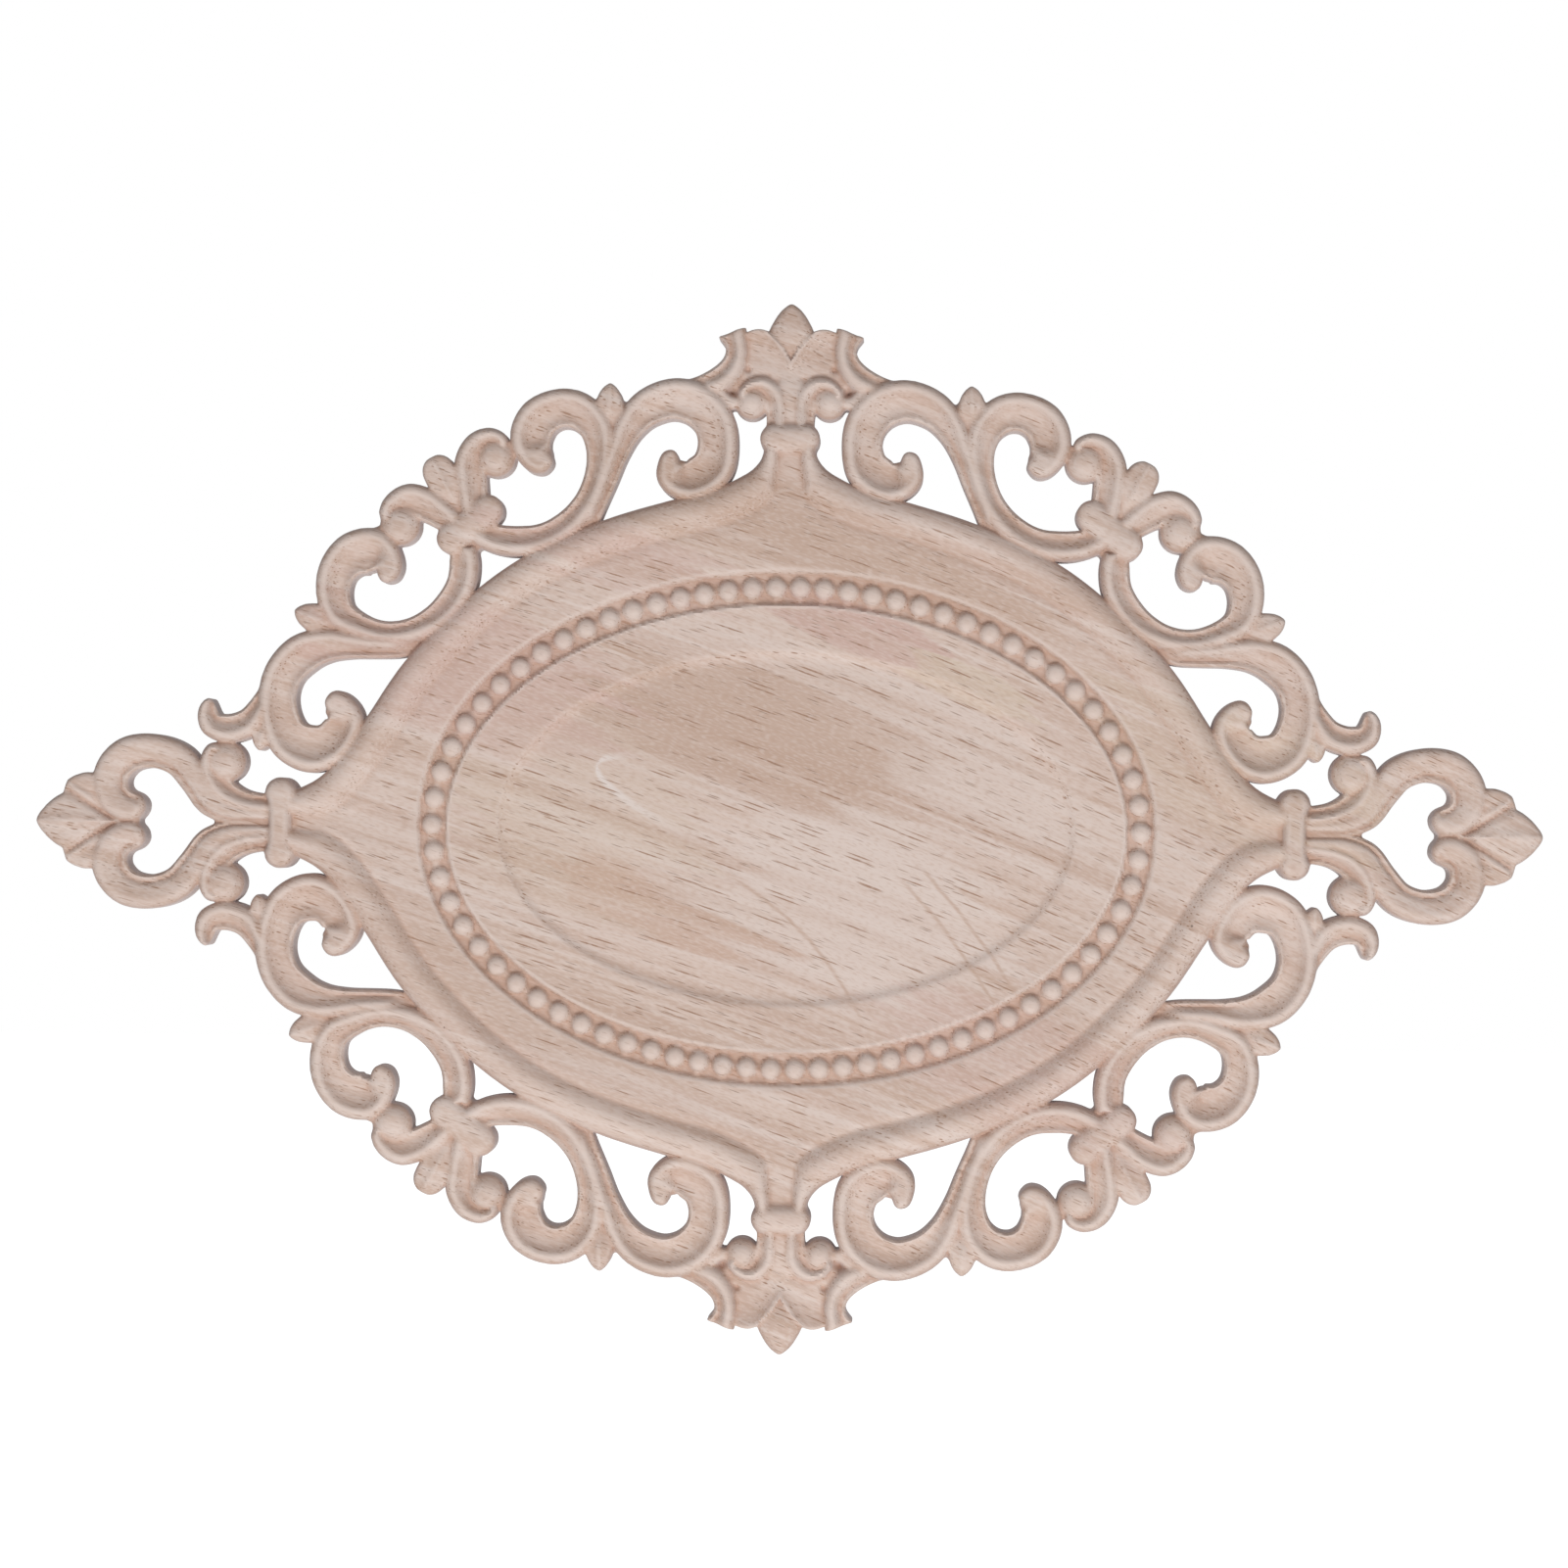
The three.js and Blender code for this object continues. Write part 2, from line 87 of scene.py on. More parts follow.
def spacedPoints(points, stepLength, stepAngle):
    # rows of x, y, width, heading and distance run, closer together where the curve bends
    run = np.gradient(points[:, :2], axis=0)
    heading = np.unwrap(np.arctan2(run[:, 1], run[:, 0]))
    length = np.hypot(*np.diff(points[:, :2], axis=0).T)
    effort = length / stepLength + np.abs(np.diff(heading)) / stepAngle
    effort = np.concatenate([[0], np.cumsum(effort)])
    distance = np.concatenate([[0], np.cumsum(length)])
    wanted = np.linspace(0, effort[-1], max(int(effort[-1] + 0.5), 4) + 1)
    return np.stack([np.interp(wanted, effort, c) for c in (*points.T, heading, distance)], 1)


def distanceRun(points):
    # distance along a row of points from its first
    return np.concatenate([[0], np.cumsum(np.hypot(*np.diff(points[:, :2], axis=0).T))])


def ease(value, low, high):
    t = np.clip((value - low) / (high - low), 0, 1)
    return t * t * (3 - 2 * t)


# Solids, as points and faces
def ringSkin(rings):
    # a closed skin over rings of points, rings: count x around x 3, with flat ends
    count, around, _ = rings.shape
    i, j = np.meshgrid(np.arange(count - 1), np.arange(around), indexing="ij")
    k = (j + 1) % around
    quads = np.stack([i * around + j, i * around + k, (i + 1) * around + k, (i + 1) * around + j], -1)
    faces = quads.reshape(-1, 4).tolist()
    faces.append(list(range(around))[::-1])
    faces.append([(count - 1) * around + n for n in range(around)])
    return rightWayOut(rings.reshape(-1, 3), faces)


def rightWayOut(points, faces):
    volume = 0.0
    for face in faces:
        a = points[face[0]]
        for b, c in zip(face[1:], face[2:]):
            volume += np.dot(a, np.cross(points[b], points[c]))
    return points, faces if volume > 0 else [face[::-1] for face in faces]


def topAndWalls(centre, heading, side, reach, heights):
    # rings whose tops have the given reaches to one side and heights, over upright walls
    nx, ny = -np.sin(heading) * side, np.cos(heading) * side
    x = centre[:, :1] + nx[:, None] * reach
    y = centre[:, 1:2] + ny[:, None] * reach
    top = np.stack([x, y, heights], -1)
    walls = []
    for edge, h in ((-1, boardCut["wallBreak"]), (-1, -boardCut["sawDepth"]),
                    (0, -boardCut["sawDepth"]), (0, boardCut["wallBreak"])):
        ring = top[:, edge].copy()
        ring[:, 2] = h
        walls.append(ring)
    return np.concatenate([top, np.stack(walls, 1)], 1)


scrollCut = {
    "rimWidth": 3.7,
    "rimShare": 0.42,   # most of a stroke's width that its rim may take
    # two faces. rim: distance in from the outer edge, in rim widths, and height. deepens: how much
    # the hollow sinks for each millimetre over a slim stroke's width. inside: shares of the width
    # between which the rim gives way to the inner part
    "faces": {
        "rolled": {
            "rim": [(0, 9.6), (0.09, 10.7), (0.25, 11.7), (0.45, 12.5), (0.7, 13.0), (0.92, 12.95),
                    (1.1, 12.4), (1.28, 11.6), (1.46, 11.05), (1.75, 10.75), (2.2, 10.6)],
            "deepens": 0.24,
            "inside": (0.52, 0.74),
        },
        "flat": {
            "rim": [(0, 9.6), (0.09, 10.6), (0.25, 11.5), (0.45, 12.2), (0.7, 12.55), (0.92, 12.6),
                    (1.1, 12.5), (1.28, 12.35), (1.46, 12.2), (1.75, 11.9), (2.2, 11.45)],
            "deepens": 0.06,
            "inside": (0.66, 0.8),
        },
    },
    "slimWidth": 9.0,
    # distance in from the inner edge, and height: the fine lip and the crease behind it
    "lip": [(0, 9.2), (0.35, 10.1), (0.9, 10.7), (1.5, 10.75), (1.95, 9.95), (2.3, 9.5), (3.0, 9.8)],
    "fullLip": 10,      # strokes slimmer than this have a finer lip
    "leastHollow": 0.6,     # width left between the rim and the lip
    "scoop": (0.25, 0.65),  # share of the width where the scoop starts, and its width
    "noseTurn": (math.radians(110), math.radians(165)),  # where the rim ends on its way round a nose
    "lobeCrest": 3.2,
    "lobeRise": 5,
    "rootHeight": 8.4,
    "tightest": 0.93,   # share of the way to a turn's centre that the inner edge may reach
    "evening": 0.5,
    "evenings": 40,
    # turn, face, end, lobe, root and run. turn is 1 where a scroll curls to the right of its run, so
    # that its rim is on the left. lobe is how far from the end the hollow stops in a rounded lobe.
    # root is how far the stroke takes to rise from its root. run: along, up and width
    "strokes": {
        "heart": (1, "flat", "round", 0, 0, [
            (168, 2.2, 4.6), (178, 2.2, 5), (186, 3.2, 7), (192.2, 6.6, 9.4), (197.2, 13.8, 10.4),
            (203, 20.7, 11.2), (211.6, 23.5, 11.4), (220.2, 21.9, 12), (225.1, 16, 12),
            (225, 9.8, 11.8), (221, 5.7, 10.6), (213.3, 4.5, 9.0)]),
        "heartBall": (-1, "rolled", "round", 0, 0, [
            (167, 6, 6.4), (175, 6.2, 7), (181.5, 7.4, 7.4), (187.5, 10.6, 8.6), (191.4, 16.4, 8.4),
            (191.6, 22, 7), (189, 26, 5.4)]),
        "endHook": (-1, "rolled", "round", 0, 8, [
            (172.5, 46.5, 5), (175.6, 39, 7.5), (180, 33.2, 9.4), (186.5, 31.2, 9.6),
            (191.6, 32.8, 8.8), (193.1, 36.2, 7), (192.9, 38.7, 5.4), (192.2, 40.4, 2.8),
            (191.7, 41, 1.4)]),
        "lowerTeardrop": (1, "rolled", "round", 13, 12, [
            (122, 60, 6), (130, 58.9, 7), (138, 58.9, 7.6), (146, 59.5, 9.2), (154, 59.2, 11.2),
            (161.5, 56.6, 13.4), (167.6, 50.5, 13), (170, 42.5, 12.8), (168.8, 33.5, 13.6),
            (165, 27.3, 14.8), (158, 24.7, 16), (151.5, 27, 14.4), (147.2, 34.2, 12.8),
            (149.6, 39.6, 9.6), (154, 40.4, 6)]),
        "lowerC": (-1, "rolled", "round", 12, 0, [
            (108.6, 92, 8.4), (108.1, 88.5, 9.8), (108.8, 80.8, 10), (112.5, 73.8, 10),
            (118.4, 68, 9.4), (126, 64.5, 8.2), (134.5, 63.7, 7.8), (143.4, 66.2, 8.8),
            (149.8, 70.6, 10.4), (151.8, 77.8, 11.6), (150.2, 84.8, 12.8), (145, 89.9, 14.8),
            (138.2, 90.6, 15.4), (133.3, 86, 9.8), (134.4, 80.2, 5.8)]),
        "lowerBall": (1, "rolled", "round", 0, 0, [
            (112, 100.4, 8.6), (116, 103.3, 9.8), (121, 106.4, 11), (127, 108.3, 10.2),
            (132.2, 105.8, 7.8), (134.6, 100.4, 5.6)]),
        "upperBall": (-1, "rolled", "round", 0, 0, [
            (104.5, 102, 8.6), (105.2, 108, 9.8), (106.1, 114.5, 10.6), (106.5, 121.4, 10.2),
            (104, 127, 8.4), (99.5, 128.9, 6.8), (94.2, 126.6, 5.2)]),
        "upperC": (1, "rolled", "round", 12, 0, [
            (104, 98, 8.4), (98.5, 95.6, 9.6), (91, 94.6, 10.2), (81.6, 96, 9.6), (73, 101.2, 9.2),
            (66.9, 108.8, 8.8), (63.6, 118, 9), (63.1, 126.5, 10), (65.4, 133.8, 11.4),
            (71, 138.5, 12.6), (77.8, 138.9, 13), (84, 135.3, 14), (86.4, 129, 13.8),
            (83.9, 122.2, 10.6), (78.8, 120.4, 5.8)]),
        "upperTeardrop": (-1, "rolled", "round", 13, 9, [
            (68.5, 97, 5.6), (66.3, 101.4, 6), (64.3, 106.8, 6.4), (60.7, 115.8, 7), (57.8, 124.2, 8),
            (53.7, 132.9, 10), (47.7, 139.5, 12.4), (38.8, 142.6, 13.6), (30.8, 140.6, 14.2),
            (25.5, 135, 14), (23.9, 127.6, 13.6), (26, 119.5, 14.6), (33.1, 115.3, 14.2),
            (38.8, 117, 11.4), (40.1, 121.6, 7.2), (38.8, 125.4, 5)]),
        "topHook": (1, "rolled", "blunt", 0, 12, [
            (35, 145.6, 6.4), (28.6, 147.2, 7.6), (22.8, 150, 8.6), (19.4, 154, 7.8),
            (18.2, 158.4, 7.0), (18.6, 161.6, 7.6), (19.7, 164.9, 10)]),
        "topBall": (1, "rolled", "round", 0, 0, [
            (4.7, 132, 6.2), (4.7, 138, 6.8), (5.5, 143.2, 8), (9.4, 146.8, 6.4), (13.6, 146.2, 4.8),
            (16.6, 143, 3.6)]),
    },
}


def turnRate(rows, side):
    # how sharply a run turns to one side, in radians for each millimetre, evened out over a few millimetres
    heading, distance = rows[:, 3], rows[:, 4]
    even = np.linspace(0, distance[-1], int(distance[-1] / scrollCut["evening"]) + 2)
    rate = np.gradient(np.interp(even, distance, heading), even) * side
    for _ in range(scrollCut["evenings"]):
        rate = np.convolve(np.pad(rate, 1, mode="edge"), (0.25, 0.5, 0.25), "valid")
    return np.interp(distance, even, rate)


def scrollSkin(turn, face, end, lobe, root, run):
    rows = spacedPoints(curvePoints(run), boardCut["stepLength"], boardCut["stepAngle"])
    total = rows[-1, 4]
    radius = rows[-1, 2] / 2
    noseStart = total - (radius if end == "round" else 0)
    if end == "round":
        body = rows[rows[:, 4] < noseStart - 0.3]
        swings = np.radians([0, 18, 34, 48, 60, 70, 78])
        wanted = noseStart + radius * np.sin(swings)
        nose = np.stack([np.interp(wanted, rows[:, 4], c) for c in rows.T], 1)
        shrink = np.concatenate([np.ones(len(body)), np.cos(swings)])
        rows = np.vstack([body, nose])
    else:
        shrink = np.ones(len(rows))
    width, heading, distance = rows[:, 2], rows[:, 3], rows[:, 4]
    rim = np.minimum(scrollCut["rimWidth"], scrollCut["rimShare"] * width)
    lipScale = np.minimum(1, width / scrollCut["fullLip"])
    face = scrollCut["faces"][face]
    rimIn, rimUp = (np.array(column) for column in zip(*face["rim"]))
    lipIn, lipUp = (np.array(column) for column in zip(*scrollCut["lip"]))
    # stations across: the rim's, two in the hollow, and the lip's
    fromRim = rim[:, None] * rimIn[:-1]
    toLip = (width[:, None] - lipScale[:, None] * lipIn)[:, ::-1]
    gap = toLip[:, 0] - fromRim[:, -1]
    least = scrollCut["leastHollow"]
    fromRim = fromRim * np.where(gap > least, 1, (toLip[:, 0] - least) / fromRim[:, -1])[:, None]
    gap = toLip[:, 0] - fromRim[:, -1]
    middle = fromRim[:, -1:] + gap[:, None] * np.array([0.33, 0.66])
    across = np.concatenate([fromRim, middle, toLip], 1)
    half = width[:, None] / 2
    offset = (half - across) * shrink[:, None]
    # distances from the drawn outline, which is a half circle at the nose
    past = np.maximum(distance - noseStart, 0)[:, None] if end == "round" else np.zeros((len(rows), 1))
    inNose = past > 0
    away = np.hypot(past, offset)
    rimSide = np.where(inNose, np.maximum(radius - away, 0), across)
    lipSide = np.where(inNose, np.maximum(radius - away, 0), width[:, None] - across)
    rimHeight = np.interp(rimSide / rim[:, None], rimIn, rimUp)
    lipHeight = np.interp(lipSide / lipScale[:, None], lipIn, lipUp)
    share = across / width[:, None]
    toInside = ease(share, *face["inside"])
    around = np.arctan2(past, offset)
    toInside = np.where(inNose, ease(around, *scrollCut["noseTurn"]), toInside)
    heights = rimHeight * (1 - toInside) + lipHeight * toInside
    deep = face["deepens"] * np.maximum(width - scrollCut["slimWidth"], 0)
    start, span = scrollCut["scoop"]
    scoop = np.sin(np.pi * np.clip((share - start) / span, 0, 1)) ** 2
    heights = heights - deep[:, None] * scoop * (past == 0)
    if lobe:
        bulge = 1 - np.clip(np.abs(offset) / (half * np.maximum(shrink[:, None], 0.05)), 0, 1) ** 2
        crown = boardCut["edge"] + scrollCut["lobeCrest"] * bulge ** 0.6
        crown = boardCut["edge"] + (crown - boardCut["edge"]) * np.sqrt(np.maximum(shrink, 0))[:, None]
        risen = ease(distance, total - lobe, total - lobe + scrollCut["lobeRise"])[:, None]
        heights = heights * (1 - risen) + np.maximum(crown, heights) * risen
    if root:
        low = scrollCut["rootHeight"]
        heights = low + (heights - low) * ease(distance, 0, root)[:, None]
    # on the inside of a tight turn the edge stops short of the turn's centre
    bend = turnRate(rows, -turn)
    offset = np.maximum(offset, -scrollCut["tightest"] / np.maximum(bend, 1e-3)[:, None])
    return ringSkin(topAndWalls(rows[:, :2], heading, turn, offset, heights))


ballCut = {
    # distance in from the edge and height: a soft cap over a low skirt
    "cap": [(0, 9.0), (0.4, 9.7), (1.0, 10.3), (1.7, 11.1), (2.5, 12.0), (3.4, 12.7), (4.5, 13.1),
            (5.8, 13.25)],
    "sides": 28,
    "balls": {
        "heartBall": (187.2, 20.2, 7.1),
        "lowerBall": (129.7, 99.6, 6.8),
        "upperBall": (97.9, 122.4, 6.5),
        "topBall": (12.9, 141.4, 5.6),
    },
}


def domeSkin(x, y, profile, sides):
    # profile: radius and height, from the foot up; the last is the crown
    angles = np.arange(sides) * 2 * math.pi / sides
    points = [(x + r * math.cos(a), y + r * math.sin(a), h) for r, h in profile[:-1] for a in angles]
    points.append((x, y, profile[-1][1]))
    faces = [list(range(sides))[::-1]]
    for level in range(len(profile) - 2):
        for n in range(sides):
            m = (n + 1) % sides
            a, b = level * sides + n, level * sides + m
            faces.append([a, b, b + sides, a + sides])
    last = (len(profile) - 2) * sides
    faces += [[last + n, last + (n + 1) % sides, len(points) - 1] for n in range(sides)]
    return rightWayOut(np.array(points), faces)


def ballSkin(x, y, radius):
    profile = [(radius, -boardCut["sawDepth"]), (radius, boardCut["wallBreak"])]
    profile += [(radius - inward, height) for inward, height in ballCut["cap"] if inward < radius - 0.3]
    profile.append((0, ballCut["cap"][-1][1] + 0.05))
    return domeSkin(x, y, profile, ballCut["sides"])


leafCut = {
    # share of the half width out from the midrib, and share of the ridge's height there
    "flank": [(0, 1), (0.12, 0.86), (0.3, 0.74), (0.5, 0.68), (0.7, 0.66), (0.86, 0.56),
              (0.95, 0.34), (1, 0)],
    "round": [(0, 1), (0.12, 0.985), (0.3, 0.95), (0.5, 0.86), (0.7, 0.7), (0.86, 0.48),
              (0.95, 0.27), (1, 0)],
    # outlines: share of the length, and share of the half width there
    "slim": [(0, 0.55), (0.2, 0.85), (0.4, 1), (0.6, 0.97), (0.8, 0.72), (0.92, 0.42), (1, 0.06)],
    "blunt": [(0, 0.5), (0.2, 0.75), (0.45, 0.95), (0.65, 1), (0.82, 0.95), (0.93, 0.74), (1, 0.36)],
    "fan": [(0, 0.4), (0.3, 0.72), (0.55, 0.95), (0.7, 1), (0.84, 0.74), (0.95, 0.36), (1, 0.05)],
    "spade": [(0, 0.05), (0.17, 0.14), (0.36, 0.5), (0.5, 0.76), (0.625, 0.97), (0.67, 1), (0.77, 0.87),
              (0.89, 0.54), (0.975, 0.22), (1, 0.05)],
    "onion": [(0, 0.1), (0.25, 0.62), (0.45, 0.93), (0.56, 1), (0.655, 0.86), (0.79, 0.66), (0.9, 0.43),
              (0.98, 0.16), (1, 0.04)],
    # base, tip, half width, ridge height, outline and section
    "leaves": {
        "lower": ((151, 65.8), (164.6, 70.8), 4.9, 13.2, "slim", "flank"),
        "middle": ((109.8, 104.6), (119.4, 122.2), 5.7, 13.0, "blunt", "flank"),
        "upper": ((60.6, 132), (60, 147.6), 4.8, 13.2, "slim", "flank"),
        "bud": ((174, 36), (175.6, 23.8), 3.6, 12.8, "slim", "flank"),
        "end": ((227, 3.2), (239.9, 13.4), 7.4, 12.4, "fan", "flank"),
    },
    "point": ((222, 0), (250, 0), 9.4, 14.2, "spade", "flank"),
    "crown": ((0, 154), (0, 174.3), 7.6, 12.9, "onion", "round"),
}


def leafSkin(base, tip, half, ridge, outline, section):
    base, tip = np.array(base, float), np.array(tip, float)
    length = math.hypot(*(tip - base))
    tipSteps = np.array([0.78, 0.6, 0.44, 0.3, 0.18, 0.08, 0])
    steps = np.concatenate([np.linspace(0, 0.8, 13), 1 - 0.2 * tipSteps])
    reach = half * np.interp(steps, *zip(*leafCut[outline]))
    heading = np.full(len(steps), math.atan2(tip[1] - base[1], tip[0] - base[0]))
    centre = base + steps[:, None] * (tip - base)
    side, lift = (np.array(column) for column in zip(*leafCut[section]))
    across = np.concatenate([side[::-1], -side[1:]])
    rise = np.concatenate([lift[::-1], lift[1:]])
    crest = (ridge - boardCut["edge"]) * np.minimum(1, 0.35 + 0.65 * (reach / half) ** 0.6)
    crest *= 0.3 + 0.7 * ease(steps * length, 0, 9)
    heights = boardCut["edge"] + crest[:, None] * rise
    return ringSkin(topAndWalls(centre, heading, 1, reach[:, None] * across, heights))


petalCut = {
    # the broad petal beside the crown: places and heights along its upper edge and along its foot
    "brow": [(0, 155.3, 13.8), (2.6, 159.4, 13.6), (5, 162.3, 13.4), (7.8, 165, 13), (10.6, 165.8, 12.4),
             (13.4, 165.4, 11.6), (15.8, 164.2, 10.6)],
    "foot": [(0, 147.8, 11.2), (2.8, 149.2, 10.4), (5.4, 150.8, 9.9), (8.6, 151.9, 9.6), (11.6, 152, 9.5),
             (14.2, 152.4, 9.4), (16.4, 153.6, 9.3)],
    "scoop": 1.5,
    "steps": 9,
}


def petalSkin():
    brow, foot = curvePoints(petalCut["brow"], 4), curvePoints(petalCut["foot"], 4)
    share = np.linspace(0, 1, petalCut["steps"])[None, :, None]
    top = brow[:, None] * (1 - share) + foot[:, None] * share
    top[..., 2] -= petalCut["scoop"] * np.sin(math.pi * share[..., 0] ** 0.8)
    under = top[:, [-1, 0]]
    under[..., 2] = -boardCut["sawDepth"]
    return ringSkin(np.concatenate([top, under], 1))


bandCut = {
    # where the two end knobs are centred, half width at the knobs, share lost at the waist, crest height,
    # and how square the section is
    "tie": ((100.5, 104.6), (111.9, 95.4), 5.5, 0, 13.5, 2.6),
    "sideCollar": ((168.1, -9.7), (168.1, 9.7), 5.5, 0.27, 15.4, 4.5),
    "topCollar": ((-4.8, 129.4), (4.8, 129.4), 5.2, 0.04, 15.2, 3.0),
    "neck": ((0, 124), (0, 142.6), 7.3, 0, 11.4, 3.0),
    "ridge": ((19.5, 141.4), (27.2, 146), 2.2, 0, 11, 2.4),
}


def bandSkin(start, stop, half, waist, crest, square):
    # a half-round band with rounded end knobs
    start, stop = np.array(start, float), np.array(stop, float)
    length = math.hypot(*(stop - start))
    swings = np.radians([80, 70, 60, 48, 34, 18, 0])
    middle = np.linspace(0, length, 14)
    places = np.concatenate([-half * np.sin(swings), middle[1:-1], length + half * np.sin(swings[::-1])])
    shrink = np.concatenate([np.cos(swings), np.ones(12), np.cos(swings[::-1])])
    slim = 1 - waist * (1 - np.clip(np.abs(2 * places / length - 1), 0, 1) ** 4)
    heading = np.full(len(places), math.atan2(stop[1] - start[1], stop[0] - start[0]))
    centre = start + (places / length)[:, None] * (stop - start)
    across = np.cos(np.radians(np.linspace(0, 180, 15)))
    edge = boardCut["edge"]
    bulge = (1 - np.abs(across) ** square) ** 0.6
    heights = edge + (crest - edge) * (shrink ** 0.7)[:, None] * bulge
    return ringSkin(topAndWalls(centre, heading, 1, (half * shrink * slim)[:, None] * across, heights))


webCut = {
    # low fillings between the scrolls: place, radius and height
    "webs": [(219.4, 0, 3.8, 9.6), (225, 0, 4.4, 9.6), (188.8, 0, 2, 8.8), (57, 138.6, 3.6, 9),
             (68.2, 98.6, 4, 8.6), (15.6, 160.4, 3.6, 9.2), (11, 151, 5.4, 9.2), (15.8, 151, 4.6, 9),
             (20, 145.4, 5.4, 9), (139.4, 86, 2.2, 9.6), (81.4, 124.2, 2.2, 9.6), (152, 37.2, 2, 9.6),
             (36, 120.2, 2, 9.6), (92.4, 125.4, 3, 9.8), (136.4, 96.4, 3, 9.8),
             (105.2, 93.8, 3, 9.6), (4.8, 149.6, 2.6, 9.6)],
    "sides": 16,
}


def webSkin(x, y, radius, height):
    profile = [(radius, -boardCut["sawDepth"]), (radius, height - 0.8), (radius * 0.8, height), (0, height)]
    return domeSkin(x, y, profile, webCut["sides"])


centreCut = {
    "edge": [
        (168.6, 9.4), (164.5, 10.6), (155, 15.6), (147, 25), (139.6, 36.2), (126.8, 55.1),
        (102.8, 79.2), (84, 92), (62, 101.8), (41, 108.3), (27, 111.8), (18, 115.8), (11.8, 119.6),
        (9, 123.6), (8.4, 128)],
    "rungs": 84,        # in each quarter
    # distance in from the outer edge and height: the half-round roll and the crease inside it
    "roll": [(0, 9.6), (0.35, 10.9), (1.0, 12.0), (1.9, 12.95), (3.0, 13.75), (4.4, 14.4), (6.0, 14.6),
             (7.6, 14.35), (9.0, 13.6), (10.2, 12.7), (11.2, 11.75), (11.8, 11.15), (12.3, 10.85)],
    "rollShare": (0.85, 0.62),  # most of the way to the long axis and to the upright one that a roll takes
    "field": 11.5,      # height of the field where it leaves the crease
    "fieldShares": (0.06, 0.14, 0.26, 0.42, 0.6, 0.78, 0.92),
    "ringReach": (122.5, 85.5),
    "lip": 10.4,
    "channel": 7.9,
    "channelWidth": (9.5, 11.1),
    "bandWidth": (17.0, 15.4),
    "bandEnd": 9.5,
    # share of the band's width, and height over its end
    "bandFall": [(0.08, 0.62), (0.35, 0.45), (0.7, 0.2), (0.95, 0.02), (1, 0)],
    "coveWidth": 3.6,
    # share of the cove's width, and share of the way down to the dish
    "coveFall": [(0.10, 0.26), (0.3, 0.56), (0.6, 0.84), (0.85, 0.97), (1, 1)],
    "dish": 7.8,
    "dishShares": (0.35, 0.7),
    "beads": 74,
    "beadDrift": 2.9,   # the beads sit closer at the top and bottom than at the ends
    # radius, height and share of the skirt's star: a round cap whose skirt runs out to the walls and to its
    # neighbours, so that a small pit is left in each corner between
    "bead": [(3.5, 5.6, 1), (3.5, 8.3, 1), (3.45, 8.55, 0.9), (3.4, 8.7, 0.05), (3.3, 9.5, 0),
             (2.95, 10.3, 0), (2.3, 10.95, 0), (1.35, 11.4, 0), (0, 11.6, 0)],
    "beadStar": 2.2,
    "beadArms": 4,
    "starPoints": 2.6,  # how slim the star's arms are
    "beadSides": 32,
}


def centreRings():
    # distance in from the channel's outer oval, along and up, and height
    wide, tall = centreCut["channelWidth"]
    bandLong, bandTall = centreCut["bandWidth"]
    lip, floor, dish, bandEnd = (centreCut[k] for k in ("lip", "channel", "dish", "bandEnd"))
    rings = [(-0.5, -0.5, lip + 0.04), (0, 0, lip - 0.1), (0.15, 0.15, lip - 0.6), (0.5, 0.5, floor + 0.6),
             (1.1, 1.1, floor + 0.1), (2.2, 2.2, floor)]
    rings += [(wide - a, tall - a, h) for a, _, h in reversed(rings)]
    for s, over in centreCut["bandFall"]:
        rings.append((wide + bandLong * s, tall + bandTall * s, bandEnd + over))
    for s, drop in centreCut["coveFall"]:
        reach = centreCut["coveWidth"] * s
        rings.append((wide + bandLong + reach, tall + bandTall + reach, bandEnd - (bandEnd - dish) * drop))
    return rings


def centreRung(x, y, inX, inY):
    halfLong, halfTall = centreCut["ringReach"]
    reaches = np.array([d for d, _ in centreCut["roll"]])
    lifts = np.array([h for _, h in centreCut["roll"]])
    byLong, byTall = centreCut["rollShare"]
    most = min(byTall * x / -inX if inX < 0 else math.inf, byLong * y / -inY if inY < 0 else math.inf)
    stops = reaches * min(1, most / reaches[-1])
    roll = np.stack([x + inX * stops, y + inY * stops, lifts], 1)
    angle = math.atan2(y / halfTall, x / halfLong)
    outer = np.array([halfLong * math.cos(angle), halfTall * math.sin(angle)])
    crease = roll[-1]
    field = []
    for share in centreCut["fieldShares"]:
        level = centreCut["field"] + (centreCut["lip"] - centreCut["field"]) * share
        lift = ease(share, -0.01, 0.12)
        height = crease[2] + (level - crease[2]) * lift
        field.append([*(crease[:2] + (outer - crease[:2]) * share), height])
    rings = [[(halfLong - inLong) * math.cos(angle), (halfTall - inTall) * math.sin(angle), h]
             for inLong, inTall, h in centreRings()]
    coveX, coveY, _ = rings[-1]
    rings += [[coveX * (1 - s), coveY * (1 - s), centreCut["dish"]] for s in centreCut["dishShares"]]
    foot = [[x, y, -boardCut["sawDepth"]], [x, y, boardCut["wallBreak"]]]
    return np.vstack([foot, roll, field, rings])


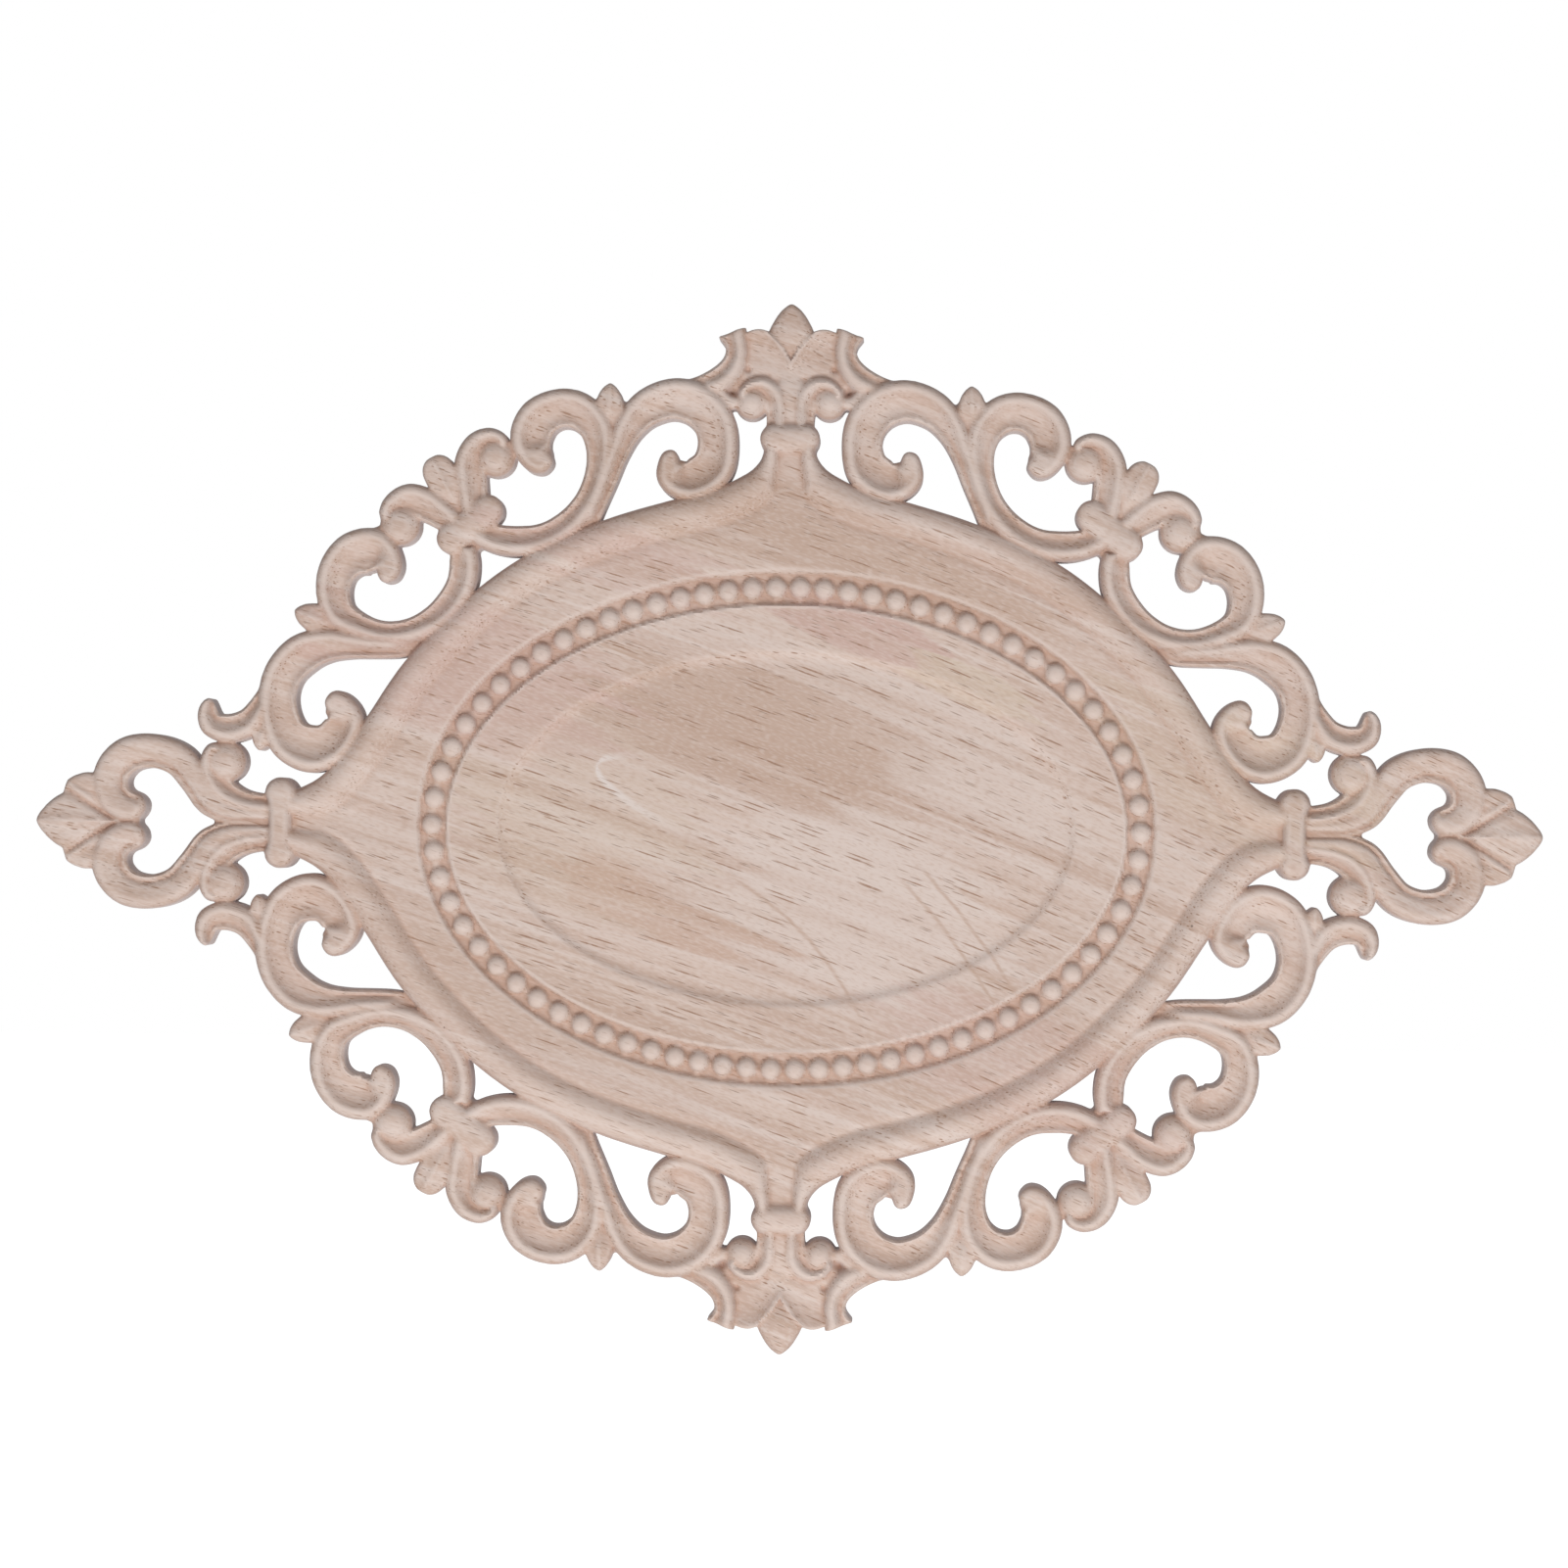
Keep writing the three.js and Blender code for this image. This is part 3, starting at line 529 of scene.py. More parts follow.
def centreSkin():
    rows = curvePoints([(x, y, 0) for x, y in centreCut["edge"]])
    length = distanceRun(rows)
    run = np.gradient(rows[:, :2], axis=0)
    run /= np.hypot(*run.T)[:, None]
    wanted = np.linspace(0, length[-1], centreCut["rungs"] + 1)
    rungs = []
    for w in wanted:
        x, y, tx, ty = (np.interp(w, length, c) for c in (rows[:, 0], rows[:, 1], run[:, 0], run[:, 1]))
        size = math.hypot(tx, ty)
        rungs.append(centreRung(x, y, -ty / size, tx / size))
    rolls = 2 + len(centreCut["roll"])
    first, last = rungs[0].copy(), rungs[-1].copy()
    onLength = centreRung(centreCut["edge"][0][0], 0.0, 0.0, 0.0)
    onLength[2:, 1] = 0
    onLength[3:rolls, 0] = first[3:rolls, 0]
    onLength[3:rolls, 2] = first[rolls - 1, 2]
    onHeight = centreRung(0.0, centreCut["edge"][-1][1], 0.0, 0.0)
    onHeight[2:, 0] = 0
    onHeight[3:rolls, 1] = last[3:rolls, 1]
    onHeight[3:rolls, 2] = last[rolls - 1, 2]
    for rung in (onLength, onHeight):
        crease, outer = rung[rolls - 1], rung[rolls + len(centreCut["fieldShares"])]
        for n, share in enumerate(centreCut["fieldShares"]):
            spot = crease + (outer - crease) * share
            rung[rolls + n, :2] = spot[:2]
    quarter = [onLength, *rungs, onHeight]
    half = quarter + [rung * (-1, 1, 1) for rung in quarter[-2::-1]]
    whole = half + [rung * (1, -1, 1) for rung in half[-2:0:-1]]
    depth = len(whole[0])
    points = np.vstack([*whole, [[0, 0, centreCut["dish"]], [0, 0, -boardCut["sawDepth"]]]])
    dishCentre = len(whole) * depth
    faces = []
    for i in range(len(whole)):
        a, b = i * depth, (i + 1) % len(whole) * depth
        faces += [[a + k, b + k, b + k + 1, a + k + 1] for k in range(depth - 1)]
        faces += [[a + depth - 1, b + depth - 1, dishCentre], [b, a, dishCentre + 1]]
    return rightWayOut(points, faces)


def beadSkin(x, y, heading):
    angles = np.arange(centreCut["beadSides"]) * 2 * math.pi / centreCut["beadSides"]
    swell = (1 + np.cos(centreCut["beadArms"] * angles)) / 2
    arms = centreCut["beadStar"] * swell ** centreCut["starPoints"]
    rings = []
    for radius, height, star in centreCut["bead"]:
        reach = np.maximum(radius + star * arms, 0.02)
        rings.append(np.stack([x + reach * np.cos(angles + heading), y + reach * np.sin(angles + heading),
                               np.full(len(angles), height)], 1))
    return ringSkin(np.array(rings))


def beadSkins():
    halfLong = centreCut["ringReach"][0] - centreCut["channelWidth"][0] / 2
    halfTall = centreCut["ringReach"][1] - centreCut["channelWidth"][1] / 2
    angles = np.linspace(0, 2 * math.pi, 1441)
    length = distanceRun(np.stack([halfLong * np.cos(angles), halfTall * np.sin(angles)], 1))
    skins = []
    for n in range(centreCut["beads"]):
        turn = n / centreCut["beads"]
        place = length[-1] * turn + centreCut["beadDrift"] * math.sin(4 * math.pi * turn)
        spot = np.interp(place, length, angles)
        x, y = halfLong * math.cos(spot), halfTall * math.sin(spot)
        skins.append(beadSkin(x, y, math.atan2(halfTall * math.cos(spot), -halfLong * math.sin(spot))))
    return skins


# Joining
squareCorners = ((-1, -1), (1, -1), (1, 1), (-1, 1))


def addObject(name, points, faces):
    mesh = bpy.data.meshes.new(name)
    mesh.from_pydata([tuple(p) for p in points], [], faces)
    mesh.validate()
    body = bpy.data.objects.new(name, mesh)
    bpy.context.scene.collection.objects.link(body)
    return body


def joinSkins(name, skins):
    # one solid from many overlapping ones, sawn flat at the back
    base = addObject(name, *skins[0])
    others = bpy.data.collections.new(name + "Parts")
    bpy.context.scene.collection.children.link(others)
    for n, (points, faces) in enumerate(skins[1:]):
        part = addObject(name + "Part" + str(n), points, faces)
        bpy.context.scene.collection.objects.unlink(part)
        others.objects.link(part)
    join = base.modifiers.new("join", "BOOLEAN")
    join.operation = "UNION"
    join.operand_type = "COLLECTION"
    join.collection = others
    join.solver = "MANIFOLD"
    reach, deep = 300.0, 40.0
    corners = [(x * reach, y * reach, h) for h in (0, deep) for x, y in squareCorners]
    board = addObject("board", *rightWayOut(np.array(corners), [
        [3, 2, 1, 0], [4, 5, 6, 7], [0, 1, 5, 4], [1, 2, 6, 5], [2, 3, 7, 6], [3, 0, 4, 7]]))
    saw = base.modifiers.new("saw", "BOOLEAN")
    saw.operation = "INTERSECT"
    saw.object = board
    saw.solver = "MANIFOLD"
    settled = base.evaluated_get(bpy.context.evaluated_depsgraph_get())
    mesh = bpy.data.meshes.new_from_object(settled)
    for part in [*others.objects, board, base]:
        bpy.data.objects.remove(part)
    bpy.data.collections.remove(others)
    return mesh


def mirrored(skin, quarters):
    points, faces = skin
    for flipX, flipY in quarters:
        turned = faces if flipX * flipY > 0 else [face[::-1] for face in faces]
        yield points * (flipX, flipY, 1), turned


def drawnSkins():
    every = ((1, 1), (-1, 1), (-1, -1), (1, -1))
    quarter = [scrollSkin(*stroke) for stroke in scrollCut["strokes"].values()]
    quarter += [ballSkin(*ball) for ball in ballCut["balls"].values()]
    quarter += [leafSkin(*leaf) for leaf in leafCut["leaves"].values()]
    quarter += [webSkin(*web) for web in webCut["webs"]]
    quarter += [bandSkin(*bandCut["tie"]), bandSkin(*bandCut["ridge"]), petalSkin()]
    skins = [centreSkin(), *beadSkins()]
    for skin in quarter:
        skins += mirrored(skin, every)
    for skin in (leafSkin(*leafCut["point"]), bandSkin(*bandCut["sideCollar"])):
        skins += mirrored(skin, ((1, 1), (-1, 1)))
    for skin in (leafSkin(*leafCut["crown"]), bandSkin(*bandCut["topCollar"]), bandSkin(*bandCut["neck"])):
        skins += mirrored(skin, ((1, 1), (1, -1)))
    print("skins drawn:", len(skins))
    return skins


fineCut = {
    "grid": 0.44,           # spacing at which the carved surface is read, in millimetres
    "readFrom": 50,
    # the reading stops at a slanting line outside the carving: where it meets each axis, and a margin
    "readTo": (260, 235, 1.02),
    "sanding": 0.3,         # how far sanding rounds each crease
    # cell sizes, and how far the skin may pass beside the carved surface before a cell is split
    "cells": {16: 0.055, 8: 0.055, 4: 0.075, 2: 0.36, 1: 0},
    "outlineStep": 1.5,
    "outlineSanding": 8,
    "outlineAngle": math.radians(24),
    "shoulderRows": (0.38, 1.0),
    "shoulderReach": 0.95,  # the arris along each wall is rounded over this width
    "shoulderDrop": 0.9,
    "shoulderClear": 0.45,  # between the last shoulder row and the first cell corner
    "sharpAngle": math.radians(55),
    # small pits in the corners: place, reach and depth
    "pits": [(19.4, 144.9, 0.9, 3.2), (14.3, 152.5, 0.7, 2.0), (170.2, 17.6, 0.8, 0.8)],
    # cuts with the parting tool: from, to, reach and depth
    "cuts": [((224.5, 0.6), (239.2, 10.2), 0.55, 1.1), ((229, 8.2), (237.4, 12.2), 0.5, 0.5),
             ((6.6, 138), (6.6, 134.4), 0.4, 0.6)],
    "hollowReach": 3.0,     # reach over which a place counts as a hollow or a ridge
    "creaseReach": 1.0,     # and as a crease or an arris
}


def blurred(values, sigma):
    # the low sides lie on the axes of symmetry, so they are mirrored there
    reach = int(3 * sigma + 1)
    weights = np.exp(-0.5 * (np.arange(-reach, reach + 1) / sigma) ** 2)
    weights /= weights.sum()
    for axis in (0, 1):
        sides = [(0, 0), (0, 0)]
        sides[axis] = (reach, 0)
        padded = np.pad(values, sides, mode="reflect")
        sides[axis] = (0, reach)
        padded = np.pad(padded, sides)
        count = values.shape[axis]
        starts = range(2 * reach + 1)
        slices = [padded[n:n + count] if axis == 0 else padded[:, n:n + count] for n in starts]
        values = sum(w * part for w, part in zip(weights, slices))
    return values


def readSurface(mesh):
    # heights of the carved surface over the first quarter, rows up and columns along
    pitch = fineCut["grid"]
    columns = int(boardCut["halfLength"] / pitch) + 3
    rows = int(boardCut["halfHeight"] / pitch) + 3
    points = [v.co.copy() for v in mesh.vertices]
    tree = BVHTree.FromPolygons(points, [tuple(p.vertices) for p in mesh.polygons])
    down = Vector((0, 0, -1))
    shift = 1e-4
    farAlong, farUp, margin = fineCut["readTo"]
    heights = np.zeros((rows, columns))
    for row in range(rows):
        y = row * pitch + shift
        for column in range(columns):
            if column * pitch / farAlong + y / farUp > margin:
                break
            spot = tree.ray_cast(Vector((column * pitch + shift, y, fineCut["readFrom"])), down)[0]
            if spot:
                heights[row, column] = spot.z
    return heights


def sampled(field, x, y):
    # values of a quarter's field at points anywhere on the carving
    c = np.clip(np.abs(x) / fineCut["grid"], 0, field.shape[1] - 1.001)
    r = np.clip(np.abs(y) / fineCut["grid"], 0, field.shape[0] - 1.001)
    c0, r0 = c.astype(int), r.astype(int)
    c, r = c - c0, r - r0
    low = field[r0, c0] * (1 - c) + field[r0, c0 + 1] * c
    high = field[r0 + 1, c0] * (1 - c) + field[r0 + 1, c0 + 1] * c
    return low * (1 - r) + high * r


def outlineLoops(mesh):
    # closed loops round the flat back, smoothed a little where two cuts meet
    flat = {p.index for p in mesh.polygons if all(mesh.vertices[v].co.z < 1e-3 for v in p.vertices)}
    following = {}
    owners = {}
    for index in flat:
        face = list(mesh.polygons[index].vertices)
        for a, b in zip(face, face[1:] + face[:1]):
            owners[(a, b)] = index
    for a, b in owners:
        if (b, a) not in owners:
            following.setdefault(a, []).append(b)
    loops = []
    while following:
        first = next(iter(following))
        loop = [first]
        while following.get(loop[-1]):
            step = following[loop[-1]].pop()
            if not following[loop[-1]]:
                del following[loop[-1]]
            if step == first:
                break
            loop.append(step)
        following.pop(first, None)
        points = np.array([mesh.vertices[v].co[:2] for v in loop])
        loops.append(points)
    return [settledLoop(points) for points in loops if len(points) > 5]


def settledLoop(points):
    closed = np.vstack([points, points[:1]])
    length = distanceRun(closed)
    fine = np.linspace(0, length[-1], max(int(length[-1] / 0.3), 12), endpoint=False)
    ring = np.stack([np.interp(fine, length, closed[:, n]) for n in (0, 1)], 1)
    for _ in range(fineCut["outlineSanding"]):
        ring = (np.roll(ring, 1, 0) + 2 * ring + np.roll(ring, -1, 0)) / 4
    ring = np.vstack([ring, ring[:1]])
    run = np.diff(ring, axis=0)
    heading = np.unwrap(np.arctan2(run[:, 1], run[:, 0]))
    turns = round((heading[-1] - heading[0]) / 2 / math.pi)
    turn = np.abs(np.diff(heading, append=heading[0] + turns * 2 * math.pi))
    effort = np.hypot(*run.T) / fineCut["outlineStep"] + turn / fineCut["outlineAngle"]
    effort = np.concatenate([[0], np.cumsum(effort)])
    count = max(int(effort[-1] + 0.5), 8)
    wanted = np.linspace(0, effort[-1], count, endpoint=False)
    return np.stack([np.interp(wanted, effort, ring[:, n]) for n in (0, 1)], 1)


def surfacePoints(heights, inside):
    # corners of cells that are small where the surface bends and large where it is flat
    rows, columns = heights.shape
    sizes = list(fineCut["cells"])
    largest = sizes[0]
    tall, wide = -(-(rows - 1) // largest) * largest, -(-(columns - 1) // largest) * largest
    field = np.pad(heights, ((0, tall + 1 - rows), (0, wide + 1 - columns)), mode="edge")
    cover = np.pad(inside, ((0, tall + 1 - rows), (0, wide + 1 - columns)))
    wanted = np.zeros(field.shape, bool)
    active = np.ones((tall // largest, wide // largest), bool)
    for size in sizes:
        t = np.linspace(0, 1, size + 1)
        r, c = np.nonzero(active)
        rr = r[:, None, None] * size + np.arange(size + 1)[None, :, None]
        cc = c[:, None, None] * size + np.arange(size + 1)[None, None, :]
        block, held = field[rr, cc], cover[rr, cc]
        corner = [block[:, a, b][:, None, None] for a, b in ((0, 0), (0, -1), (-1, 0), (-1, -1))]
        u, v = t[None, None, :], t[None, :, None]
        flat = (corner[0] * (1 - u) + corner[1] * u) * (1 - v) + (corner[2] * (1 - u) + corner[3] * u) * v
        error = np.abs(block - flat).max(axis=(1, 2))
        used = held.any(axis=(1, 2))
        split = used & (error > fineCut["cells"][size]) & (size != sizes[-1])
        kept = used & ~split
        for a in (0, size):
            for b in (0, size):
                wanted[r[kept] * size + a, c[kept] * size + b] = True
        finer = np.zeros((active.shape[0] * 2, active.shape[1] * 2), bool)
        for a in (0, 1):
            for b in (0, 1):
                finer[r[split] * 2 + a, c[split] * 2 + b] = True
        active = finer
    wanted &= cover
    r, c = np.nonzero(wanted)
    return c * fineCut["grid"], r * fineCut["grid"]


def gapsTo(near, spots):
    # distance from each spot to the nearest point of the outline
    return np.array([near.find((x, y, 0))[2] for x, y in spots])


def carvedMesh(drawn):
    # one even skin over the whole carving, with every crease sanded
    raw = readSurface(drawn)
    inside = raw > 0
    sigma = fineCut["sanding"] / fineCut["grid"]
    weight = np.maximum(blurred(inside.astype(float), sigma), 1e-6)
    soft = np.where(weight > 1e-3, blurred(raw, sigma) / weight, boardCut["edge"])
    up, out = np.indices(soft.shape) * fineCut["grid"]
    for x, y, reach, depth in fineCut["pits"]:
        soft = soft - depth * np.exp(-((out - x) ** 2 + (up - y) ** 2) / (2 * reach ** 2))
    for start, stop, reach, depth in fineCut["cuts"]:
        run = np.subtract(stop, start)
        along = np.clip(((out - start[0]) * run[0] + (up - start[1]) * run[1]) / (run @ run), 0, 1)
        gap = np.hypot(out - start[0] - along * run[0], up - start[1] - along * run[1])
        soft = soft - depth * np.exp(-gap ** 2 / (2 * reach ** 2))
    sunk = []
    for reach in (fineCut["hollowReach"], fineCut["creaseReach"]):
        reach = reach / fineCut["grid"]
        even = blurred(soft * inside, reach) / np.maximum(blurred(inside.astype(float), reach), 1e-3)
        sunk.append(even - soft)
    print("surface read")
    loops = outlineLoops(drawn)
    outline = np.vstack(loops)
    near = KDTree(len(outline))
    for n, (x, y) in enumerate(outline):
        near.insert((x, y, 0), n)
    near.balance()
    points = [outline]
    for row in fineCut["shoulderRows"]:
        for loop in loops:
            along = np.roll(loop, -1, 0) - np.roll(loop, 1, 0)
            along /= np.hypot(*along.T)[:, None]
            spots = loop + np.stack([along[:, 1], -along[:, 0]], 1) * row
            points.append(spots[gapsTo(near, spots) > row * 0.8])
    x, y = surfacePoints(soft, inside)
    grid = []
    for flipX in (1, -1):
        for flipY in (1, -1):
            keep = ((x > 0) | (flipX > 0)) & ((y > 0) | (flipY > 0))
            grid.append(np.stack([x[keep] * flipX, y[keep] * flipY], 1))
    grid = np.vstack(grid)
    clear = fineCut["shoulderRows"][-1] + fineCut["shoulderClear"]
    points.append(grid[gapsTo(near, grid) > clear])
    rows = np.vstack(points)
    edges, start = [], 0
    for loop in loops:
        edges += [(start + n, start + (n + 1) % len(loop)) for n in range(len(loop))]
        start += len(loop)
    top, topFaces, origins = triangulated(rows, edges, inside)
    place = {source: n for n, sources in enumerate(origins) for source in sources}
    rim = [place[n] for n in range(len(outline))]
    gap = gapsTo(near, top)
    height = sampled(soft, top[:, 0], top[:, 1])
    height -= fineCut["shoulderDrop"] * np.clip(1 - gap / fineCut["shoulderReach"], 0, 1) ** 2
    back, backFaces, backOrigins = triangulated(outline, edges, inside)
    backPlace = {source: n for n, sources in enumerate(backOrigins) for source in sources}
    count, backStart = len(top), len(top) + len(outline)
    middle = np.column_stack([outline, np.full(len(outline), boardCut["wallBreak"])])
    under = np.column_stack([back, np.zeros(len(back))])
    solid = np.vstack([np.column_stack([top, height]), middle, under])
    skin = topFaces + [[backStart + n for n in face[::-1]] for face in backFaces]
    for a, b in edges:
        low = [backStart + backPlace[b], backStart + backPlace[a]]
        skin.append([rim[a], rim[b], count + b, count + a])
        skin.append([count + a, count + b, *low])
    marks = np.zeros((2, len(solid)))
    marks[:, :count] = [sampled(field, top[:, 0], top[:, 1]) for field in sunk]
    print("outline points:", len(outline), "surface points:", count)
    return solid, skin, marks


def triangulated(rows, edges, inside):
    # triangles between the points, without those in the gaps and outside the outline
    spots, _, faces, origins, edgeSources, _ = delaunay_2d_cdt(
        [Vector((px, py)) for px, py in rows], edges, [], 0, 1e-6, True)
    spots = np.array([tuple(spot) for spot in spots])
    number = {source: n for n, sources in enumerate(origins) for source in sources}
    fixed = {tuple(sorted((number[a], number[b]))) for a, b in edges}
    beside = {}
    for n, face in enumerate(faces):
        for a, b in zip(face, face[1:] + face[:1]):
            beside.setdefault((a, b) if a < b else (b, a), []).append(n)
    corners = spots[np.array(faces)]
    middle = corners.mean(axis=1)
    u, v = corners[:, 1] - corners[:, 0], corners[:, 2] - corners[:, 0]
    area = np.abs(u[:, 0] * v[:, 1] - u[:, 1] * v[:, 0]) / 2
    vote = area * (sampled(inside.astype(float), middle[:, 0], middle[:, 1]) - 0.5)
    reachable = [[] for _ in faces]
    for edge, pair in beside.items():
        if edge not in fixed and len(pair) == 2:
            reachable[pair[0]].append(pair[1])
            reachable[pair[1]].append(pair[0])
    kept, seen = [], np.zeros(len(faces), bool)
    for n in range(len(faces)):
        if seen[n]:
            continue
        seen[n] = True
        group, queue = [n], [n]
        while queue:
            for other in reachable[queue.pop()]:
                if not seen[other]:
                    seen[other] = True
                    group.append(other)
                    queue.append(other)
        if vote[group].sum() > 0:
            kept += group
    return spots, [faces[n] for n in kept], origins


def makeApplique():
    drawn = joinSkins("applique", drawnSkins())
    points, faces, marks = carvedMesh(drawn)
    bpy.data.meshes.remove(drawn)
    mesh = bpy.data.meshes.new("applique")
    placed = np.column_stack([points[:, 0], -points[:, 2], points[:, 1]]) / 1000
    mesh.from_pydata(placed.tolist(), [], faces)
    # two marks of hollows and ridges, which lead the painted shade and the painted highlights
    for name, values in zip(("hollow", "crease"), marks):
        mesh.attributes.new(name, "FLOAT", "POINT").data.foreach_set("value", values.astype(np.float32))
    mesh.shade_smooth()
    mesh.set_sharp_from_angle(angle=fineCut["sharpAngle"])
    mesh.update()
    body = bpy.data.objects.new("applique", mesh)
    bpy.context.scene.collection.objects.link(body)
    return body


applique = makeApplique()
triangles = sum(len(p.vertices) - 2 for p in applique.data.polygons)
print("applique joined:", len(applique.data.vertices), "points,", triangles, "triangles")

woodLook = {
    "grainTurn": math.radians(-20),  # the grain runs down to the right
    "grainBow": 0.25,                # and steeper towards the right
    "pale": (0.615, 0.487, 0.425),
    "middle": (0.550, 0.412, 0.350),
    "tan": (0.480, 0.335, 0.262),
    "rosy": (0.540, 0.370, 0.322),
    "white": (0.655, 0.548, 0.498),
    "straw": (0.575, 0.460, 0.360),
    "pore": (0.250, 0.155, 0.110),
    "rust": (0.300, 0.170, 0.110),
    # the brown of the painted shade in recesses and creases
    "recessShade": (0.430, 0.265, 0.195),
    # pale grey-lilac laid on the upright walls: painted light, as from the pale surroundings
    "litWallTone": (0.640, 0.550, 0.530),
    "spot": (0.110, 0.070, 0.050),
    "amber": (0.500, 0.325, 0.240),
    "chalk": (0.720, 0.650, 0.620),
    # patches of another tone: along and up from the middle in metres, reach along and across the grain,
    # how far the ends feather, how soft the edge is, tone and strength
    "patches": [
        ((-0.008, 0.031), (0.056, 0.021), 0.018, 0.06, "tan", 0.75),
        ((-0.070, 0.004), (0.040, 0.030), 0.014, 0.4, "straw", 0.30),
        ((0.026, -0.024), (0.046, 0.030), 0.014, 0.2, "white", 0.75),
        ((0.066, 0.016), (0.040, 0.014), 0.012, 0.2, "white", 0.55),
        ((-0.048, -0.024), (0.034, 0.012), 0.020, 0.2, "amber", 0.42),
        ((0.024, 0.064), (0.030, 0.008), 0.006, 0.15, "rosy", 0.90),
        ((0.062, 0.046), (0.022, 0.006), 0.008, 0.2, "straw", 0.85),
        ((-0.110, 0.052), (0.060, 0.022), 0.020, 0.4, "rosy", 0.60),
        ((0.000, 0.100), (0.090, 0.016), 0.020, 0.4, "tan", 0.75),
        ((-0.060, 0.092), (0.040, 0.012), 0.020, 0.4, "rosy", 0.55),
        ((0.150, 0.020), (0.050, 0.022), 0.020, 0.4, "straw", 0.35),
        ((-0.080, -0.060), (0.060, 0.014), 0.020, 0.3, "tan", 0.45),
        ((0.080, -0.080), (0.050, 0.022), 0.012, 0.3, "rosy", 0.45),
    ],
    # brown years of growth that cross the grain: centre, radii, heart and reach of where they show
    "rings": [((-0.068, -0.107), (0.1035,), (0.006, -0.036), 0.040),
              ((-0.107, -0.162), (0.2055, 0.213), (0.056, -0.038), 0.034)],
    "ringLine": (0.0010, 0.70),  # half thickness and strength
    # a pale arch of growth at the left: nose, opening, reach and half thickness
    "arch": ((-0.0631, 0.0206), 0.0046, 0.045, 0.0010),
    # sizes of the figure along the grain, in depth and across it, in metres
    "sizes": {
        "sway": (0.16, 0.10, 0.05),
        "bands": (0.22, 0.05, 0.016),
        "lines": (0.14, 0.010, 0.0019),
        "streaks": (0.11, 0.02, 0.0042),
        "wander": (0.060, 0.010, 0.0040),
        "patchy": (0.06, 0.02, 0.006),
        "density": (0.12, 0.04, 0.020),
        "longPores": (0.0260, 0.0012, 0.0012),
        "shortPores": (0.0110, 0.0008, 0.0008),
        "fuzz": (0.0022, 0.0006, 0.0005),
        "dry": (0.02, 0.004, 0.0012),
    },
    "swayReach": 0.010,
    "wanderReach": 4.5,
    "poreReach": 0.26,
    # thin washes of tone: from and to a value of what leads them, strength and tone
    "lineWash": [(0.54, 0.72, 0.66, "tan"), (0.46, 0.28, 0.74, "white")],
    "streakWash": [(0.52, 0.70, 0.46, "tan"), (0.46, 0.30, 0.58, "white")],
    "fuzzWash": [(0.45, 0.75, 0.36, "white"), (0.48, 0.25, 0.34, "tan")],
    # painted shade, browner in the recesses and creases, then painted highlights, paler on the crests and
    # arrises
    "shadeAndHighlightWash": [("hollow", 0.25, 2.2, 0.24, "recessShade"), ("crease", 0.04, 0.60, 0.46, "recessShade"),
                   ("hollow", -0.25, -1.6, 0.30, "pale"), ("crease", -0.05, -0.40, 0.55, "white")],
    "roughness": (0.62, 0.82),
    "bump": 0.35,
}


wood = bpy.data.materials.new("rubberwood")
wood.use_nodes = True
tree = wood.node_tree


def addNode(kind, values=None, **settings):
    # a node with its settings, and values or links by the name or number of the socket
    made = tree.nodes.new("ShaderNode" + kind)
    for key, value in settings.items():
        setattr(made, key, value)
    for key, value in (values or {}).items():
        if isinstance(value, bpy.types.NodeSocket):
            tree.links.new(value, made.inputs[key])
        else:
            made.inputs[key].default_value = value
    return made


def maths(operation, first, second=0.0, third=0.0):
    return addNode("Math", {0: first, 1: second, 2: third}, operation=operation).outputs[0]


def plus(first, second):
    return maths("ADD", first, second)


def minus(first, second):
    return maths("SUBTRACT", first, second)


def times(first, second):
    return maths("MULTIPLY", first, second)


def spread(value, low, high, start=0.0, stop=1.0):
    # an eased step of a value between two limits
    made = addNode("MapRange", {0: value, 1: low, 2: high, 3: start, 4: stop})
    made.interpolation_type = "SMOOTHSTEP"
    return made.outputs[0]


def tinted(share, under, over):
    # one colour laid over another by a share; colours are names in woodLook or links
    under, over = ((*woodLook[c], 1) if isinstance(c, str) else c for c in (under, over))
    return addNode("Mix", {0: share, 6: under, 7: over}, data_type="RGBA").outputs[2]


def washed(colour, field, washes):
    for low, high, strength, tone in washes:
        colour = tinted(spread(field, low, high, 0.0, strength), colour, tone)
    return colour


def drawnOut(grain, name):
    # a place in the grain, counted in the sizes of one kind of figure
    parts = {n: maths("DIVIDE", grain[n], size) for n, size in enumerate(woodLook["sizes"][name])}
    return addNode("CombineXYZ", parts).outputs[0]


def fibre(grain, name, detail=0.0):
    # noise drawn out along the grain
    return addNode("TexNoise", {"Vector": drawnOut(grain, name), "Scale": 1.0, "Detail": detail}).outputs[0]


def pores(grain, name, share):
    # short open vessels: one in each drawn-out cell, in some of the cells only
    cells = addNode("TexVoronoi", {"Vector": drawnOut(grain, name), "Scale": 1.0})
    kind = addNode("SeparateColor", {0: cells.outputs["Color"]})
    dash = spread(cells.outputs["Distance"], woodLook["poreReach"], woodLook["poreReach"] * 0.55)
    return times(dash, spread(kind.outputs[0], minus(share, 0.05), share, 1.0, 0.0))


def inGrain(place):
    # a place on the board as distances along and across the grain
    x, z = place
    turn = woodLook["grainTurn"]
    along = x * math.cos(turn) + z * math.sin(turn)
    return along, z * math.cos(turn) - x * math.sin(turn) + woodLook["grainBow"] * along ** 2


def patchShare(along, across, wander, place, reach, feather, edge):
    # how far a point lies inside an oval patch whose ends feather along the grain
    centreAlong, centreAcross = inGrain(place)
    moved = maths("MULTIPLY_ADD", wander, feather, along)
    u = maths("DIVIDE", minus(moved, centreAlong), reach[0])
    v = maths("DIVIDE", minus(across, centreAcross), reach[1])
    return spread(plus(times(u, u), times(v, v)), 1 + edge, 1 - edge)


